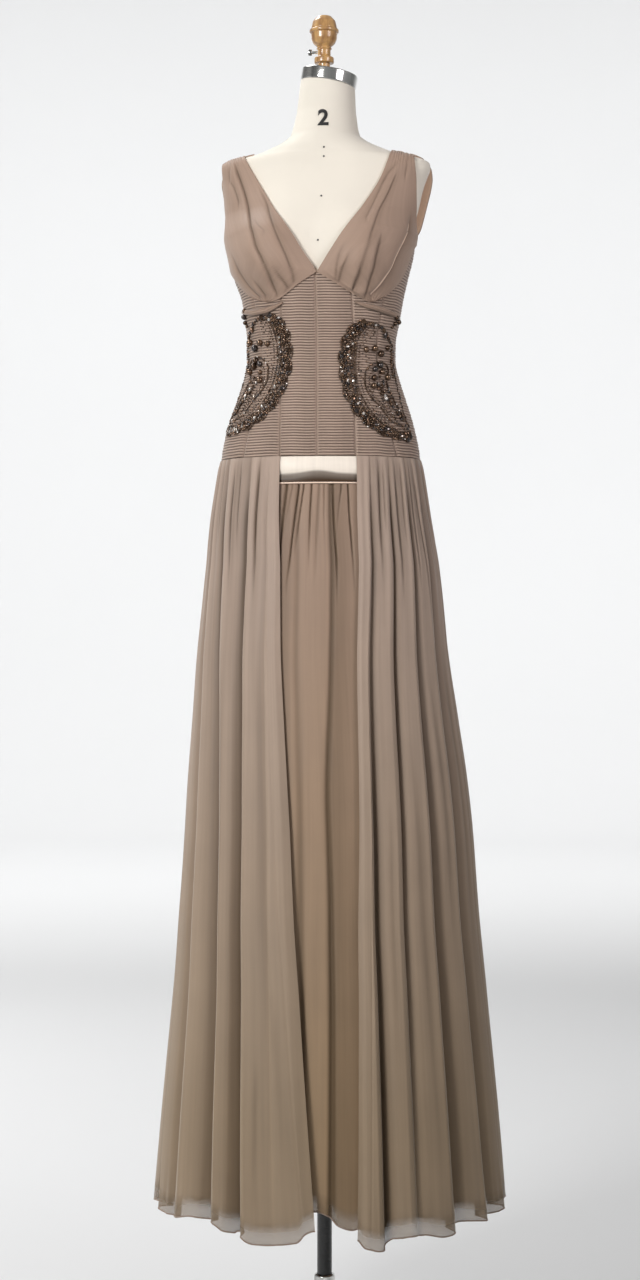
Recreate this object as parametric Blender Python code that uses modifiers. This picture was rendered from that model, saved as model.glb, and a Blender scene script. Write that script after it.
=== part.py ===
"""Sleeveless V-neck evening gown on a limbless dress form with a pole stand.

Units are metres and +Z is up. The origin is on the floor, under the stand's pole. The front
faces -Y, and left and right are those of someone who looks at the front: left is -X.

Cloth is built as walls. A place on a body is given by its turn (0 at the centre front, 90
degrees at +X, 180 at the centre back) and its height. Each wall has an outer and an inner
grid of points, worked out from section tables and from one row for each fold or seam.
"""

import math

import bpy
import numpy as np

COLLECTION_NAME = "Evening gown on a dress form"


def table(columns, *rows):
    """Return a table as a dictionary that holds one array for each named column."""
    return dict(zip(columns.split(), np.array(rows, dtype=float).T))


# ---------------------------------------------------------------- cloth and seams
SEAM_GAP = 0.0003              # between neighbouring pieces
PANEL_WALL = 0.0014            # tucked chiffon on its backing
SKIRT_WALL = 0.0011            # skirt layers
PANEL_EASE = 0.0018            # from the form to the inside of the midriff
STRAP_EASE = 0.0020            # from the form to the inside of a shoulder strap

# ---------------------------------------------------------------- dress form
FORM_SECTIONS = table(
    "height half_width front back shift",
    (1.200, 0.1380, 0.1000, 0.1060, -0.0030),
    (1.250, 0.1430, 0.1030, 0.1090, -0.0040),
    (1.300, 0.1465, 0.1050, 0.1110, -0.0050),
    (1.350, 0.1480, 0.1065, 0.1115, -0.0060),
    (1.397, 0.1490, 0.1080, 0.1120, -0.0060),
    (1.430, 0.1440, 0.1050, 0.1070, -0.0060),
    (1.460, 0.1360, 0.1010, 0.1010, -0.0055),
    (1.490, 0.1260, 0.0960, 0.0940, -0.0050),
    (1.520, 0.1160, 0.0910, 0.0870, -0.0045),
    (1.550, 0.1095, 0.0870, 0.0820, -0.0045),
    (1.580, 0.1100, 0.0870, 0.0810, -0.0045),
    (1.610, 0.1145, 0.0910, 0.0830, -0.0035),
    (1.645, 0.1200, 0.0960, 0.0870, -0.0030),
    (1.680, 0.1300, 0.1010, 0.0900, -0.0050),
    (1.710, 0.1380, 0.1020, 0.0910, -0.0055),
    (1.740, 0.1430, 0.0980, 0.0900, -0.0060),
    (1.770, 0.1490, 0.0890, 0.0870, -0.0010),
    (1.800, 0.1545, 0.0790, 0.0820, 0.0015),
    (1.825, 0.1575, 0.0710, 0.0770, 0.0020),
    (1.842, 0.1575, 0.0660, 0.0730, 0.0020),
    (1.852, 0.1545, 0.0640, 0.0700, 0.0020),
    (1.858, 0.1480, 0.0635, 0.0680, 0.0020),
    (1.863, 0.1350, 0.0630, 0.0660, 0.0020),
    (1.868, 0.1190, 0.0620, 0.0640, 0.0020),
    (1.878, 0.0910, 0.0610, 0.0600, 0.0018),
    (1.888, 0.0690, 0.0590, 0.0560, 0.0016),
    (1.900, 0.0545, 0.0560, 0.0520, 0.0015),
    (1.935, 0.0465, 0.0480, 0.0460, 0.0030),
)
FORM_ROWS = (1.200, 1.207, 1.290, 1.397, 1.450, 1.490, 1.525, 1.560, 1.595, 1.625, 1.650, 1.680,
             1.720, 1.743, 1.770, 1.820, 1.845, 1.855, 1.862, 1.868, 1.877, 1.892, 1.935)
FORM_COLUMNS = 24
FORM_BOTTOM_CHAMFER = 0.006    # inset of the lowest row
FORM_INSET = 0.0008            # how far the form's own points lie inside its sections

# The bust of the form, a pair of rounded rises on its front
BUST_RISE = 0.024
BUST_SPREAD = 0.074            # from the middle to each point
BUST_WIDTH = 0.046
BUST_HEIGHT = 1.697
BUST_ABOVE = 0.062             # how far it fades upwards
BUST_BELOW = 0.031             # how far it fades downwards
BUST_SIDE_FADE = 0.6           # cosine of the turn where it starts to run out at the side

# Neck top and the metal cap, which lean sideways together
NECK_TOP_CENTRE = (0.0055, -0.001, 1.9795)
NECK_LEAN = math.radians(10.0)
NECK_TOP_RADIUS = 0.0425
CAP_RADIUS = 0.0435
CAP_HEIGHT = 0.0190
CAP_EDGE = 0.0012
CAP_STEPS = 24

# Turned finial on the neck cap: radius and height above its foot, top to bottom. A short
# spigot under the foot reaches down to the cap
FINIAL_FOOT_HEIGHT = 2.0135
FINIAL_X = -0.0005
FINIAL_STEPS = 16
FINIAL_STEM = 0.0100           # radius
FINIAL_SPIGOT = 0.0090         # radius
FINIAL_PROFILE = (
    (0.0000, 0.0748), (0.0107, 0.0728), (0.0175, 0.0655), (0.0201, 0.0543), (0.0227, 0.0520),
    (0.0227, 0.0478), (0.0202, 0.0465), (0.0196, 0.0372), (0.0170, 0.0310),
    (FINIAL_STEM, 0.0248), (FINIAL_STEM, 0.0110), (0.0152, 0.0085), (0.0152, 0.0000),
    (FINIAL_SPIGOT, 0.0000), (FINIAL_SPIGOT, -0.0114), (0.0000, -0.0114),
)
SCREW_HEIGHT = 2.0310          # thumbscrew in the finial's stem
SCREW_SHANK_RADIUS = 0.0022
SCREW_SHANK_STEPS = 8
SCREW_SHANK_LENGTH = 0.0085
SCREW_HEAD_RADIUS = 0.0050
SCREW_HEAD_STEPS = 10
SCREW_HEAD_LENGTH = 0.0060

# Stand
FITTING_STEPS = 16
BASE_STEPS = 30
POLE_RADIUS = 0.0115
POLE_TOP = 1.1937
POLE_FOOT = 0.1330
FLANGE_PROFILE = ((0.0120, 0.0000), (0.0380, 0.0000), (0.0380, -0.0040), (0.0180, -0.0090),
                  (0.0170, -0.0260), (0.0120, -0.0260))
COLLAR_TOP = 0.1390
COLLAR_PROFILE = ((0.0118, 0.0000), (0.0150, -0.0010), (0.0160, -0.0030), (0.0160, -0.0260),
                  (0.0145, -0.0280), (0.0118, -0.0280))
SLEEVE_TOP = COLLAR_TOP - 0.0283
SLEEVE_RADIUS = 0.0145
BASE_PROFILE = ((0.0000, 0.0330), (0.0250, 0.0330), (0.0300, 0.0240), (0.0600, 0.0190),
                (0.1950, 0.0100), (0.2000, 0.0060), (0.2000, 0.0000), (0.0000, 0.0000))

# ---------------------------------------------------------------- tucked midriff
HIP_SEAM = 1.3975
TUCK_PITCH = 0.0042
TUCK_RISE = 0.0010
TUCK_FADE = 0.15               # share of a panel's width where tucks run out into its seam strip
PANEL_BOW = 0.0012             # extra room where a panel spans a wide bend
# Each seam at the hip, the waist and the top of the midriff: the centre front's own place,
# and the distance of the others from it
SEAM_HEIGHTS = (1.3975, 1.560, 1.660)
CENTRE_SEAM = (0.0000, -0.0025, -0.0035)
FRONT_SEAM = (0.0565, 0.0545, 0.0520)
SIDE_FRONT_SEAM = (0.1140, 0.0850, 0.1000)
SIDE_BACK_SEAM = (0.1100, 0.0800, 0.0950)
# Tucks and upright rows of tuck points in each panel of one half
PANEL_TUCKS = {"centre_front": 66, "side_front": 60, "side": 80, "back": 60}
PANEL_COLUMNS = {"centre_front": 2, "side_front": 2, "side": 4, "back": 3}
PANEL_STRIP_TUCKS = 6          # tucks between the points of a seam strip

# ---------------------------------------------------------------- bodice
# Edges of each cup from the shoulder to the gathered point, as side distance and height
CUP_LEFT = table(
    "outer_x outer_z inner_x inner_z",
    (-0.1560, 1.8590, -0.1225, 1.8672),
    (-0.1545, 1.8285, -0.0905, 1.8150),
    (-0.1525, 1.7970, -0.0613, 1.7700),
    (-0.1492, 1.7620, -0.0376, 1.7330),
    (-0.1470, 1.7355, -0.0196, 1.7024),
    (-0.1412, 1.7120, -0.0008, 1.6745),
    (-0.1365, 1.6907, -0.0273, 1.6585),
    (-0.1208, 1.6677, -0.0486, 1.6424),
    (-0.1061, 1.6500, -0.0580, 1.6374),
    (-0.0877, 1.6381, -0.0715, 1.6339),
)
CUP_RIGHT = table(
    "outer_x outer_z inner_x inner_z",
    (0.1395, 1.8615, 0.1085, 1.8715),
    (0.1428, 1.8207, 0.0900, 1.8200),
    (0.1426, 1.7844, 0.0655, 1.7790),
    (0.1396, 1.7585, 0.0480, 1.7510),
    (0.1373, 1.7371, 0.0300, 1.7220),
    (0.1300, 1.7120, -0.0001, 1.6745),
    (0.1230, 1.6900, 0.0284, 1.6582),
    (0.1116, 1.6653, 0.0516, 1.6430),
    (0.0952, 1.6453, 0.0632, 1.6366),
    (0.0830, 1.6353, 0.0714, 1.6324),
)
CUP_ROWS = (0.0, 0.015, 0.04, 0.07, 0.11, 0.17, 0.25, 0.34, 0.44, 0.555, 0.67, 0.78, 0.89, 1.0)
CUP_COLUMNS = 11
CUP_WALL = 0.0014
CUP_OVER_PANEL = 0.0066        # from the form to the inside of a cup over the midriff
CUP_PUFF = 0.0045              # extra fullness in the middle of a cup
CUP_REST_TOP = 1.7750          # below this height a cup starts to leave the form
CUP_REST_FADE = 0.0350         # and this far below it clears the midriff
CUP_FOLD_START = 0.45          # share of a fold's rise at the shoulder
# Soft folds of a cup: place across it, how far they stand up, their half width
CUP_FOLDS = table(
    "place rise spread",
    (0.10, 0.0022, 0.050),
    (0.27, 0.0030, 0.060),
    (0.45, 0.0026, 0.055),
    (0.62, 0.0034, 0.060),
    (0.78, 0.0024, 0.050),
    (0.92, 0.0018, 0.040),
)

# Shell that the back bodice follows: it stands off the form at the armhole
BACK_SHELL = table(
    "height half_width back shift",
    (1.6490, 0.1232, 0.0893, -0.0030),
    (1.7000, 0.1385, 0.0935, -0.0050),
    (1.7380, 0.1485, 0.0950, -0.0030),
    (1.7630, 0.1525, 0.0920, -0.0005),
    (1.7900, 0.1580, 0.0890, 0.0010),
    (1.8190, 0.1648, 0.0830, 0.0018),
    (1.8350, 0.1675, 0.0795, 0.0018),
    (1.8470, 0.1680, 0.0765, 0.0020),
    (1.8540, 0.1665, 0.0745, 0.0020),
    (1.8590, 0.1620, 0.0730, 0.0020),
    (1.8635, 0.1530, 0.0715, 0.0020),
    (1.8670, 0.1400, 0.0695, 0.0020),
    (1.8700, 0.1265, 0.0680, 0.0020),
    (1.8740, 0.1140, 0.0665, 0.0020),
    (1.8790, 0.1030, 0.0650, 0.0020),
)
# Rows of the back bodice from the shoulder down: heights at the armhole and at the middle,
# and the turn at each end in degrees
BACK_ROWS = table(
    "outer_height inner_height outer_turn inner_turn",
    (1.8640, 1.8750, 90.3, 90.3),
    (1.8590, 1.8670, 107.0, 126.0),
    (1.8480, 1.8520, 105.0, 150.0),
    (1.8300, 1.8280, 101.0, 166.0),
    (1.8080, 1.8050, 99.5, 180.0),
    (1.7780, 1.7880, 98.5, 180.0),
    (1.7580, 1.7760, 100.0, 180.0),
    (1.7470, 1.7650, 109.0, 180.0),
    (1.7395, 1.7560, 124.0, 180.0),
    (1.7350, 1.7480, 139.5, 180.0),
    (1.7000, 1.7000, 137.2, 180.0),
    (1.6500, 1.6500, 130.4, 180.0),
)
BACK_SHOULDER = {-1: 1.8620, 1: 1.8670}   # height at the outer end of each shoulder seam
BACK_COLUMNS = 6
BACK_WALL = 0.0012

# Raised fold under each cup, from its gathered point to the side
EMPIRE_LEFT = table(
    "side_x height half_width",
    (-0.0520, 1.6310, 0.0015),
    (-0.0650, 1.6255, 0.0040),
    (-0.0783, 1.6222, 0.0050),
    (-0.0955, 1.6215, 0.0050),
    (-0.1100, 1.6245, 0.0045),
    (-0.1190, 1.6280, 0.0030),
)
EMPIRE_RIGHT = table(
    "side_x height half_width",
    (0.0530, 1.6310, 0.0015),
    (0.0654, 1.6272, 0.0036),
    (0.0785, 1.6250, 0.0045),
    (0.0910, 1.6225, 0.0050),
    (0.1010, 1.6198, 0.0045),
    (0.1090, 1.6175, 0.0030),
)
EMPIRE_INNER = 0.0060          # from the form to its underside, over the tucks
EMPIRE_WALL = 0.0010           # at its edges
EMPIRE_RISE = 0.0042           # more at its crown
EMPIRE_POINTS = 10
# Places across the fold and the share of its rise at each
EMPIRE_ACROSS = (-1.0, -0.4, 0.4, 1.0)
EMPIRE_CROWN = (0.12, 0.95, 1.0, 0.12)

# ---------------------------------------------------------------- beaded appliques
# A paisley on each side: its middle line from the head to the tip, as the distance round
# the midriff from the centre front and the height, with its half width
PAISLEY = table(
    "round height half_width",
    (0.0980, 1.6105, 0.0000),
    (0.0965, 1.6060, 0.0220),
    (0.0920, 1.5940, 0.0400),
    (0.0880, 1.5740, 0.0480),
    (0.0862, 1.5500, 0.0495),
    (0.0890, 1.5250, 0.0485),
    (0.0975, 1.5010, 0.0455),
    (0.1100, 1.4810, 0.0395),
    (0.1270, 1.4630, 0.0285),
    (0.1460, 1.4500, 0.0155),
    (0.1650, 1.4410, 0.0060),
)
PAISLEY_ROWS = 23
PAISLEY_DROP = {-1: 0.0, 1: 0.0110}   # how much lower each side's applique sits
PAISLEY_SCALLOPS = 8           # lobes along the inner edge
PAISLEY_SCALLOP_DEPTH = 0.0030
PAISLEY_INNER = 0.0067         # from the form to its underside, over the tucks
# Height of the applique above its underside across it, from one edge to the other
PAISLEY_ACROSS = (-1.0, -0.70, -0.23, 0.23, 0.70, 1.0)
PAISLEY_RISE = (0.0012, 0.0034, 0.0020, 0.0020, 0.0034, 0.0012)

# ---------------------------------------------------------------- skirt
# Outline of the skirt over its crests, the depth of its flutes and of its gathers
SKIRT_SECTIONS = table(
    "height half_width front back shift flute gather clearance",
    (0.2575, 0.2745, 0.2680, 0.2690, 0.0085, 0.0200, 0.0000, 0.0020),
    (0.3980, 0.2620, 0.2510, 0.2530, 0.0085, 0.0185, 0.0000, 0.0020),
    (0.5850, 0.2440, 0.2270, 0.2300, 0.0080, 0.0165, 0.0000, 0.0020),
    (0.7170, 0.2330, 0.2100, 0.2140, 0.0060, 0.0145, 0.0000, 0.0020),
    (0.8190, 0.2255, 0.1970, 0.2010, 0.0060, 0.0130, 0.0000, 0.0020),
    (0.9140, 0.2170, 0.1850, 0.1890, 0.0040, 0.0110, 0.0000, 0.0020),
    (0.9930, 0.2080, 0.1730, 0.1780, 0.0010, 0.0095, 0.0000, 0.0020),
    (1.1200, 0.1945, 0.1560, 0.1610, -0.0030, 0.0070, 0.0005, 0.0020),
    (1.2280, 0.1830, 0.1420, 0.1470, -0.0030, 0.0045, 0.0020, 0.0020),
    (1.2750, 0.1770, 0.1355, 0.1400, -0.0048, 0.0035, 0.0028, 0.0020),
    (1.3200, 0.1705, 0.1290, 0.1340, -0.0060, 0.0025, 0.0034, 0.0020),
    (1.3600, 0.1640, 0.1225, 0.1275, -0.0060, 0.0012, 0.0036, 0.0020),
    (1.3850, 0.1595, 0.1185, 0.1230, -0.0060, 0.0004, 0.0026, 0.0008),
    (1.3970, 0.1560, 0.1150, 0.1190, -0.0060, 0.0000, 0.0012, 0.0004),
)
OVERLAY_ROWS = (0.2575, 0.560, 0.860, 1.100, 1.250, 1.335, 1.378, 1.397)
# Valleys between the flutes, round the gown from the right edge of the front opening to its
# left edge: their turn in degrees at the seam, at mid height and at the hem, and how deep
# each is at the seam and at the hem, as a share of the depth in the sections
VALLEYS = table(
    "seam middle hem seam_depth hem_depth",
    (24.6, 17.2, 14.2, 0.8, 0.30),
    (32.0, 24.0, 24.4, 1.0, 1.00),
    (44.0, 36.4, 37.5, 1.0, 0.45),
    (59.0, 50.5, 51.2, 1.0, 1.00),
    (74.0, 67.6, 68.5, 1.0, 0.90),
    (90.0, 84.0, 85.0, 1.0, 0.80),
    (105.0, 99.0, 100.0, 1.0, 1.00),
    (119.0, 114.0, 113.0, 1.0, 0.85),
    (133.0, 130.0, 129.0, 1.0, 1.00),
    (148.0, 145.0, 146.0, 1.0, 0.75),
    (162.0, 160.0, 161.0, 1.0, 1.00),
    (177.0, 176.0, 177.0, 1.0, 0.90),
    (191.0, 191.0, 190.0, 1.0, 1.00),
    (206.0, 207.0, 206.0, 1.0, 0.80),
    (220.0, 222.0, 221.0, 1.0, 1.00),
    (235.0, 237.0, 238.0, 1.0, 0.95),
    (250.0, 253.0, 254.0, 1.0, 0.75),
    (265.0, 269.0, 270.0, 1.0, 1.00),
    (279.0, 284.0, 288.0, 1.0, 0.80),
    (292.0, 300.0, 305.0, 1.0, 0.95),
    (305.0, 315.5, 322.0, 1.0, 1.00),
    (319.0, 328.5, 335.0, 1.0, 1.00),
    (330.0, 340.0, 348.0, 1.0, 0.20),
    (341.3, 349.5, 361.0, 0.8, 0.30),
)
VALLEY_HEIGHTS = (1.397, 0.850, 0.2575)
# Places in a flute: the share of its width, how far each lies below the crest, for the
# flute and for the two gathers that start it
FLUTE_COLUMNS = table(
    "place flute gather",
    (0.00, 1.00, 1.0),
    (0.22, 0.30, 0.0),
    (0.50, 0.00, 1.0),
    (0.78, 0.30, 0.0),
)
# Flutes in each overlay piece, counted round from the opening's right edge
OVERLAY_PIECES = {"skirt_front_right": (0, 5), "skirt_back": (5, 17), "skirt_front_left": (17, 23)}

# Underskirt, seen in the front opening and at the hem, and the lining inside it
UNDERSKIRT_ROWS = (0.2795, 0.560, 0.860, 1.100, 1.250, 1.335)
UNDERSKIRT_TOP = 1.3965
UNDERSKIRT_COLUMNS = 30
UNDERSKIRT_FOLDS = 10
UNDERSKIRT_FOLD_SHARE = 0.45   # of the flute's depth
BAND_HEIGHTS = (1.3568, 1.377, 1.3970)
BAND_TURNS = (-23.5, 29.5)     # degrees, the ends lie under the overlay
BAND_COLUMNS = 8
BAND_BULGE = 0.0015
BAND_FLAT = 1.25               # how much wider than the band the bulge is cut off
LINING_ROWS = (0.324, 0.860, 1.100, 1.250, 1.335, 1.3965)
LINING_COLUMNS = 30

# ---------------------------------------------------------------- finishes
FINISHES = {
    # name: (colour, metallic, roughness)
    "taupe_chiffon": ((0.40, 0.31, 0.24), 0.0, 0.75),
    "warm_lining": ((0.45, 0.30, 0.21), 0.0, 0.60),
    "champagne_satin": ((0.60, 0.50, 0.41), 0.0, 0.30),
    "bead_work": ((0.13, 0.10, 0.09), 0.8, 0.30),
    "cream_jersey": ((0.86, 0.82, 0.72), 0.0, 0.80),
    "turned_wood": ((0.60, 0.35, 0.14), 0.0, 0.35),
    "polished_metal": ((0.80, 0.80, 0.78), 1.0, 0.15),
    "black_metal": ((0.02, 0.02, 0.02), 0.6, 0.35),
}


# ================================================================ numbers
def on_curve(known, values, wanted):
    """Read a curve through known points that never overshoots them (monotone cubic)."""
    known = np.asarray(known, dtype=float)
    values = np.asarray(values, dtype=float)
    wanted = np.asarray(wanted, dtype=float)
    steps = np.diff(known)
    slopes = np.diff(values) / steps
    ends = np.zeros_like(values)
    ends[0], ends[-1] = slopes[0], slopes[-1]
    same_way = slopes[:-1] * slopes[1:] > 0
    before, after = slopes[:-1][same_way], slopes[1:][same_way]
    ends[1:-1][same_way] = 2 * before * after / (before + after)
    index = np.clip(np.searchsorted(known, wanted, side="right") - 1, 0, len(steps) - 1)
    step = steps[index]
    part = np.clip((wanted - known[index]) / step, 0.0, 1.0)
    rest = 1.0 - part
    return (values[index] * (1 + 2 * part) * rest**2 + values[index + 1] * (3 - 2 * part) * part**2
            + step * part * rest * (ends[index] * rest - ends[index + 1] * part))


def section(sections, column, height):
    """Read one column of a section table at a height."""
    return on_curve(sections["height"], sections[column], height)


def points(x, y, z):
    """Stack coordinates into points."""
    return np.stack(np.broadcast_arrays(x, y, z), axis=-1)


# ================================================================ surfaces
def form_surface(turn, height):
    """Return points of the bare dress form: an ellipse at each height, with the bust added."""
    half_width = section(FORM_SECTIONS, "half_width", height)
    cosine = np.cos(turn)
    depth = np.where(cosine > 0, section(FORM_SECTIONS, "front", height),
                     section(FORM_SECTIONS, "back", height))
    side = half_width * np.sin(turn)
    fade = np.where(height > BUST_HEIGHT, BUST_ABOVE, BUST_BELOW)
    rise = BUST_RISE * np.exp(-((np.abs(side) - BUST_SPREAD) / BUST_WIDTH) ** 2
                              - ((height - BUST_HEIGHT) / fade) ** 2)
    front_share = np.clip(cosine / BUST_SIDE_FADE, 0.0, 1.0)
    front_share = front_share**2 * (3 - 2 * front_share)
    return points(section(FORM_SECTIONS, "shift", height) + side,
                  -depth * cosine - rise * front_share, height)


def back_surface(turn, height):
    """Return points of the shell that the back bodice follows."""
    return points(section(BACK_SHELL, "shift", height)
                  + section(BACK_SHELL, "half_width", height) * np.sin(turn),
                  -section(BACK_SHELL, "back", height) * np.cos(turn), height)


def skirt_surface(turn, height):
    """Return points of the skirt's outline over the crests of its flutes."""
    cosine = np.cos(turn)
    depth = np.where(cosine > 0, section(SKIRT_SECTIONS, "front", height),
                     section(SKIRT_SECTIONS, "back", height))
    return points(section(SKIRT_SECTIONS, "shift", height)
                  + section(SKIRT_SECTIONS, "half_width", height) * np.sin(turn),
                  -depth * cosine, height)


def pushed_out(surface, turn, height, distance):
    """Return points at a distance outside a surface, along its normal."""
    turn, height = np.broadcast_arrays(np.asarray(turn, float), np.asarray(height, float))
    step = 1e-4
    along = surface(turn + step, height) - surface(turn - step, height)
    up = surface(turn, height + step) - surface(turn, height - step)
    normal = np.cross(along, up)
    normal /= np.linalg.norm(normal, axis=-1, keepdims=True)
    return surface(turn, height) + normal * np.broadcast_to(distance, turn.shape)[..., None]


def front_turn(side_x, height):
    """Return the turn on the form's front where the side distance is as given."""
    share = (side_x - section(FORM_SECTIONS, "shift", height)) / section(
        FORM_SECTIONS, "half_width", height)
    return np.arcsin(np.clip(share, -1.0, 1.0))


# ================================================================ meshes
def finish(name):
    """Return the material of a finish, made once."""
    material = bpy.data.materials.get(name)
    if material is None:
        colour, metallic, roughness = FINISHES[name]
        material = bpy.data.materials.new(name)
        material.use_nodes = True
        shader = material.node_tree.nodes["Principled BSDF"]
        shader.inputs["Base Color"].default_value = (*colour, 1.0)
        shader.inputs["Metallic"].default_value = metallic
        shader.inputs["Roughness"].default_value = roughness
    return material


def add_object(name, mesh, finish_name, smooth=True):
    """Put a mesh in the part's collection as a named sub-part."""
    mesh.materials.append(finish(finish_name))
    if smooth:
        mesh.shade_smooth()
        mesh.set_sharp_from_angle(angle=math.radians(40))
    thing = bpy.data.objects.new(name, mesh)
    bpy.data.collections[COLLECTION_NAME].objects.link(thing)
    return thing


def mesh_of(name, vertices, faces):
    """Return a mesh made from points and faces."""
    mesh = bpy.data.meshes.new(name)
    mesh.from_pydata([tuple(map(float, p)) for p in vertices], [], faces)
    mesh.validate()
    return mesh


def grid_faces(rows, columns, first=0, around=False, inward=False):
    """Return the quads of a grid of points, rows from bottom to top, columns to the right.

    An inward quad starts at the same corner, so both sides of a wall split the same way.
    """
    faces = []
    for row in range(rows - 1):
        for column in range(columns if around else columns - 1):
            after = (column + 1) % columns
            quad = (first + row * columns + column, first + row * columns + after,
                    first + (row + 1) * columns + after, first + (row + 1) * columns + column)
            faces.append((quad[0], quad[3], quad[2], quad[1]) if inward else quad)
    return faces


def strip_faces(one, other):
    """Return quads between two rows of point numbers."""
    return [(one[i], one[i + 1], other[i + 1], other[i]) for i in range(len(one) - 1)]


def add_wall(name, outer, inner, finish_name, around=False):
    """Close a wall between an outer and an inner grid, both rows x columns x 3.

    Rows run upwards and columns to the right of someone who looks at the outer side.
    """
    rows, columns = outer.shape[:2]
    count = rows * columns
    faces = grid_faces(rows, columns, 0, around) + grid_faces(rows, columns, count, around, True)
    ring = list(range(columns)) + ([0] if around else [])
    top = [(rows - 1) * columns + i for i in ring]
    faces += strip_faces([count + i for i in ring], ring)
    faces += strip_faces(top, [count + i for i in top])
    if not around:
        left = [row * columns for row in range(rows)]
        right = [row * columns + columns - 1 for row in range(rows)]
        faces += strip_faces(left, [count + i for i in left])
        faces += strip_faces([count + i for i in right], right)
    vertices = np.concatenate([outer.reshape(-1, 3), inner.reshape(-1, 3)])
    return add_object(name, mesh_of(name, vertices, faces), finish_name)


def zipped(one, one_heights, other, other_heights):
    """Return triangles between two upright lines of point numbers with unlike spacing."""
    faces = []
    i = j = 0
    while i < len(one) - 1 or j < len(other) - 1:
        first_moves = j == len(other) - 1 or (
            i < len(one) - 1 and one_heights[i + 1] <= other_heights[j + 1])
        if first_moves:
            faces.append((one[i], other[j], one[i + 1]))
            i += 1
        else:
            faces.append((one[i], other[j], other[j + 1]))
            j += 1
    return faces


def add_turned(name, profile, centre, finish_name, steps):
    """Turn a profile of (radius, height) pairs, top to bottom, about an upright axis."""
    vertices = [(radius, 0.0, height) for radius, height in profile]
    hollow = profile[0][0] > 0
    edges = [(i, i + 1) for i in range(len(profile) - 1)]
    if hollow:
        edges.append((len(profile) - 1, 0))
    mesh = bpy.data.meshes.new(name)
    mesh.from_pydata(vertices, edges, [])
    thing = add_object(name, mesh, finish_name, smooth=False)
    thing.location = centre
    screw = thing.modifiers.new("Turn", "SCREW")
    screw.steps = steps
    screw.render_steps = steps
    screw.use_merge_vertices = True
    screw.merge_threshold = 0.0001
    screw.use_smooth_shade = True
    return thing


# ================================================================ gown
def seam_turn(distance, side, height, back=False):
    """Return the turn of a seam, side +1 for right and -1 for left, at a height."""
    centre = 0.0 if back else on_curve(SEAM_HEIGHTS, CENTRE_SEAM, height) - section(
        FORM_SECTIONS, "shift", height)
    place = centre + side * on_curve(SEAM_HEIGHTS, distance, height)
    turn = np.arcsin(np.clip(place / section(FORM_SECTIONS, "half_width", height), -1.0, 1.0))
    return side * np.pi - turn if back else turn


def add_tucked_panel(name, left_seam, right_seam, tucks, columns):
    """Build a panel of horizontal pin tucks between two seams.

    Each seam is a function from height to turn. The outer side has a valley and a ridge for
    each tuck, which fade into a flat strip with few points at both seams.
    """
    top = HIP_SEAM + tucks * TUCK_PITCH
    fine = HIP_SEAM + TUCK_PITCH / 2 * np.arange(2 * tucks + 1)
    coarse = np.append(np.arange(HIP_SEAM, top - TUCK_PITCH, PANEL_STRIP_TUCKS * TUCK_PITCH), top)
    shares = [0.0] + list(np.linspace(TUCK_FADE, 1 - TUCK_FADE, columns)) + [1.0]
    half_gap = SEAM_GAP / 2

    def line(share, heights, distance):
        middle = form_surface(np.zeros_like(heights), heights)
        radius = np.abs(middle[:, 1])
        start = left_seam(heights) + half_gap / radius
        end = right_seam(heights) - half_gap / radius
        return pushed_out(form_surface, start + share * (end - start), heights, distance)

    vertices, faces = [], []

    def add_line(line_points):
        first = len(vertices)
        vertices.extend(line_points)
        return list(range(first, len(vertices)))

    rise = np.where(np.arange(2 * tucks + 1) % 2 == 1, TUCK_RISE, 0.0)
    outer, inner = [], []
    for place, share in enumerate(shares):
        at_seam = place in (0, len(shares) - 1)
        heights = coarse if at_seam else fine
        ease = PANEL_EASE + (0.0 if at_seam else PANEL_BOW)
        distance = ease + PANEL_WALL + (0.0 if at_seam else rise)
        outer.append((add_line(line(share, heights, distance)), heights))
        inner.append((add_line(line(share, coarse, ease)), coarse))
    for (one, one_heights), (other, other_heights) in zip(outer, outer[1:]):
        faces += zipped(one, one_heights, other, other_heights)
    for (one, one_heights), (other, other_heights) in zip(inner, inner[1:]):
        faces += [face[::-1] for face in zipped(one, one_heights, other, other_heights)]
    faces += strip_faces(outer[0][0], inner[0][0])
    faces += strip_faces(inner[-1][0], outer[-1][0])
    faces += strip_faces([line[0] for line, _ in inner], [line[0] for line, _ in outer])
    faces += strip_faces([line[-1] for line, _ in outer], [line[-1] for line, _ in inner])
    return add_object(name, mesh_of(name, vertices, faces), "taupe_chiffon")


def build_midriff():
    """Build the tucked panels: centre front, side front, side and back on each half."""
    none = (0.0, 0.0, 0.0)
    for side, half in ((-1, "left"), (1, "right")):
        seams = {
            "centre": lambda z, side=side: seam_turn(none, side, z),
            "front": lambda z, side=side: seam_turn(FRONT_SEAM, side, z),
            "side_front": lambda z, side=side: seam_turn(SIDE_FRONT_SEAM, side, z),
            "side_back": lambda z, side=side: seam_turn(SIDE_BACK_SEAM, side, z, back=True),
            "centre_back": lambda z, side=side: np.full_like(z, side * np.pi),
        }
        bounds = {"centre_front": ("centre", "front"), "side_front": ("front", "side_front"),
                  "side": ("side_front", "side_back"), "back": ("side_back", "centre_back")}
        for panel, (start, end) in bounds.items():
            near, far = (start, end) if side > 0 else (end, start)
            add_tucked_panel(f"midriff_{panel}_{half}", seams[near], seams[far],
                             PANEL_TUCKS[panel], PANEL_COLUMNS[panel])


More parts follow.
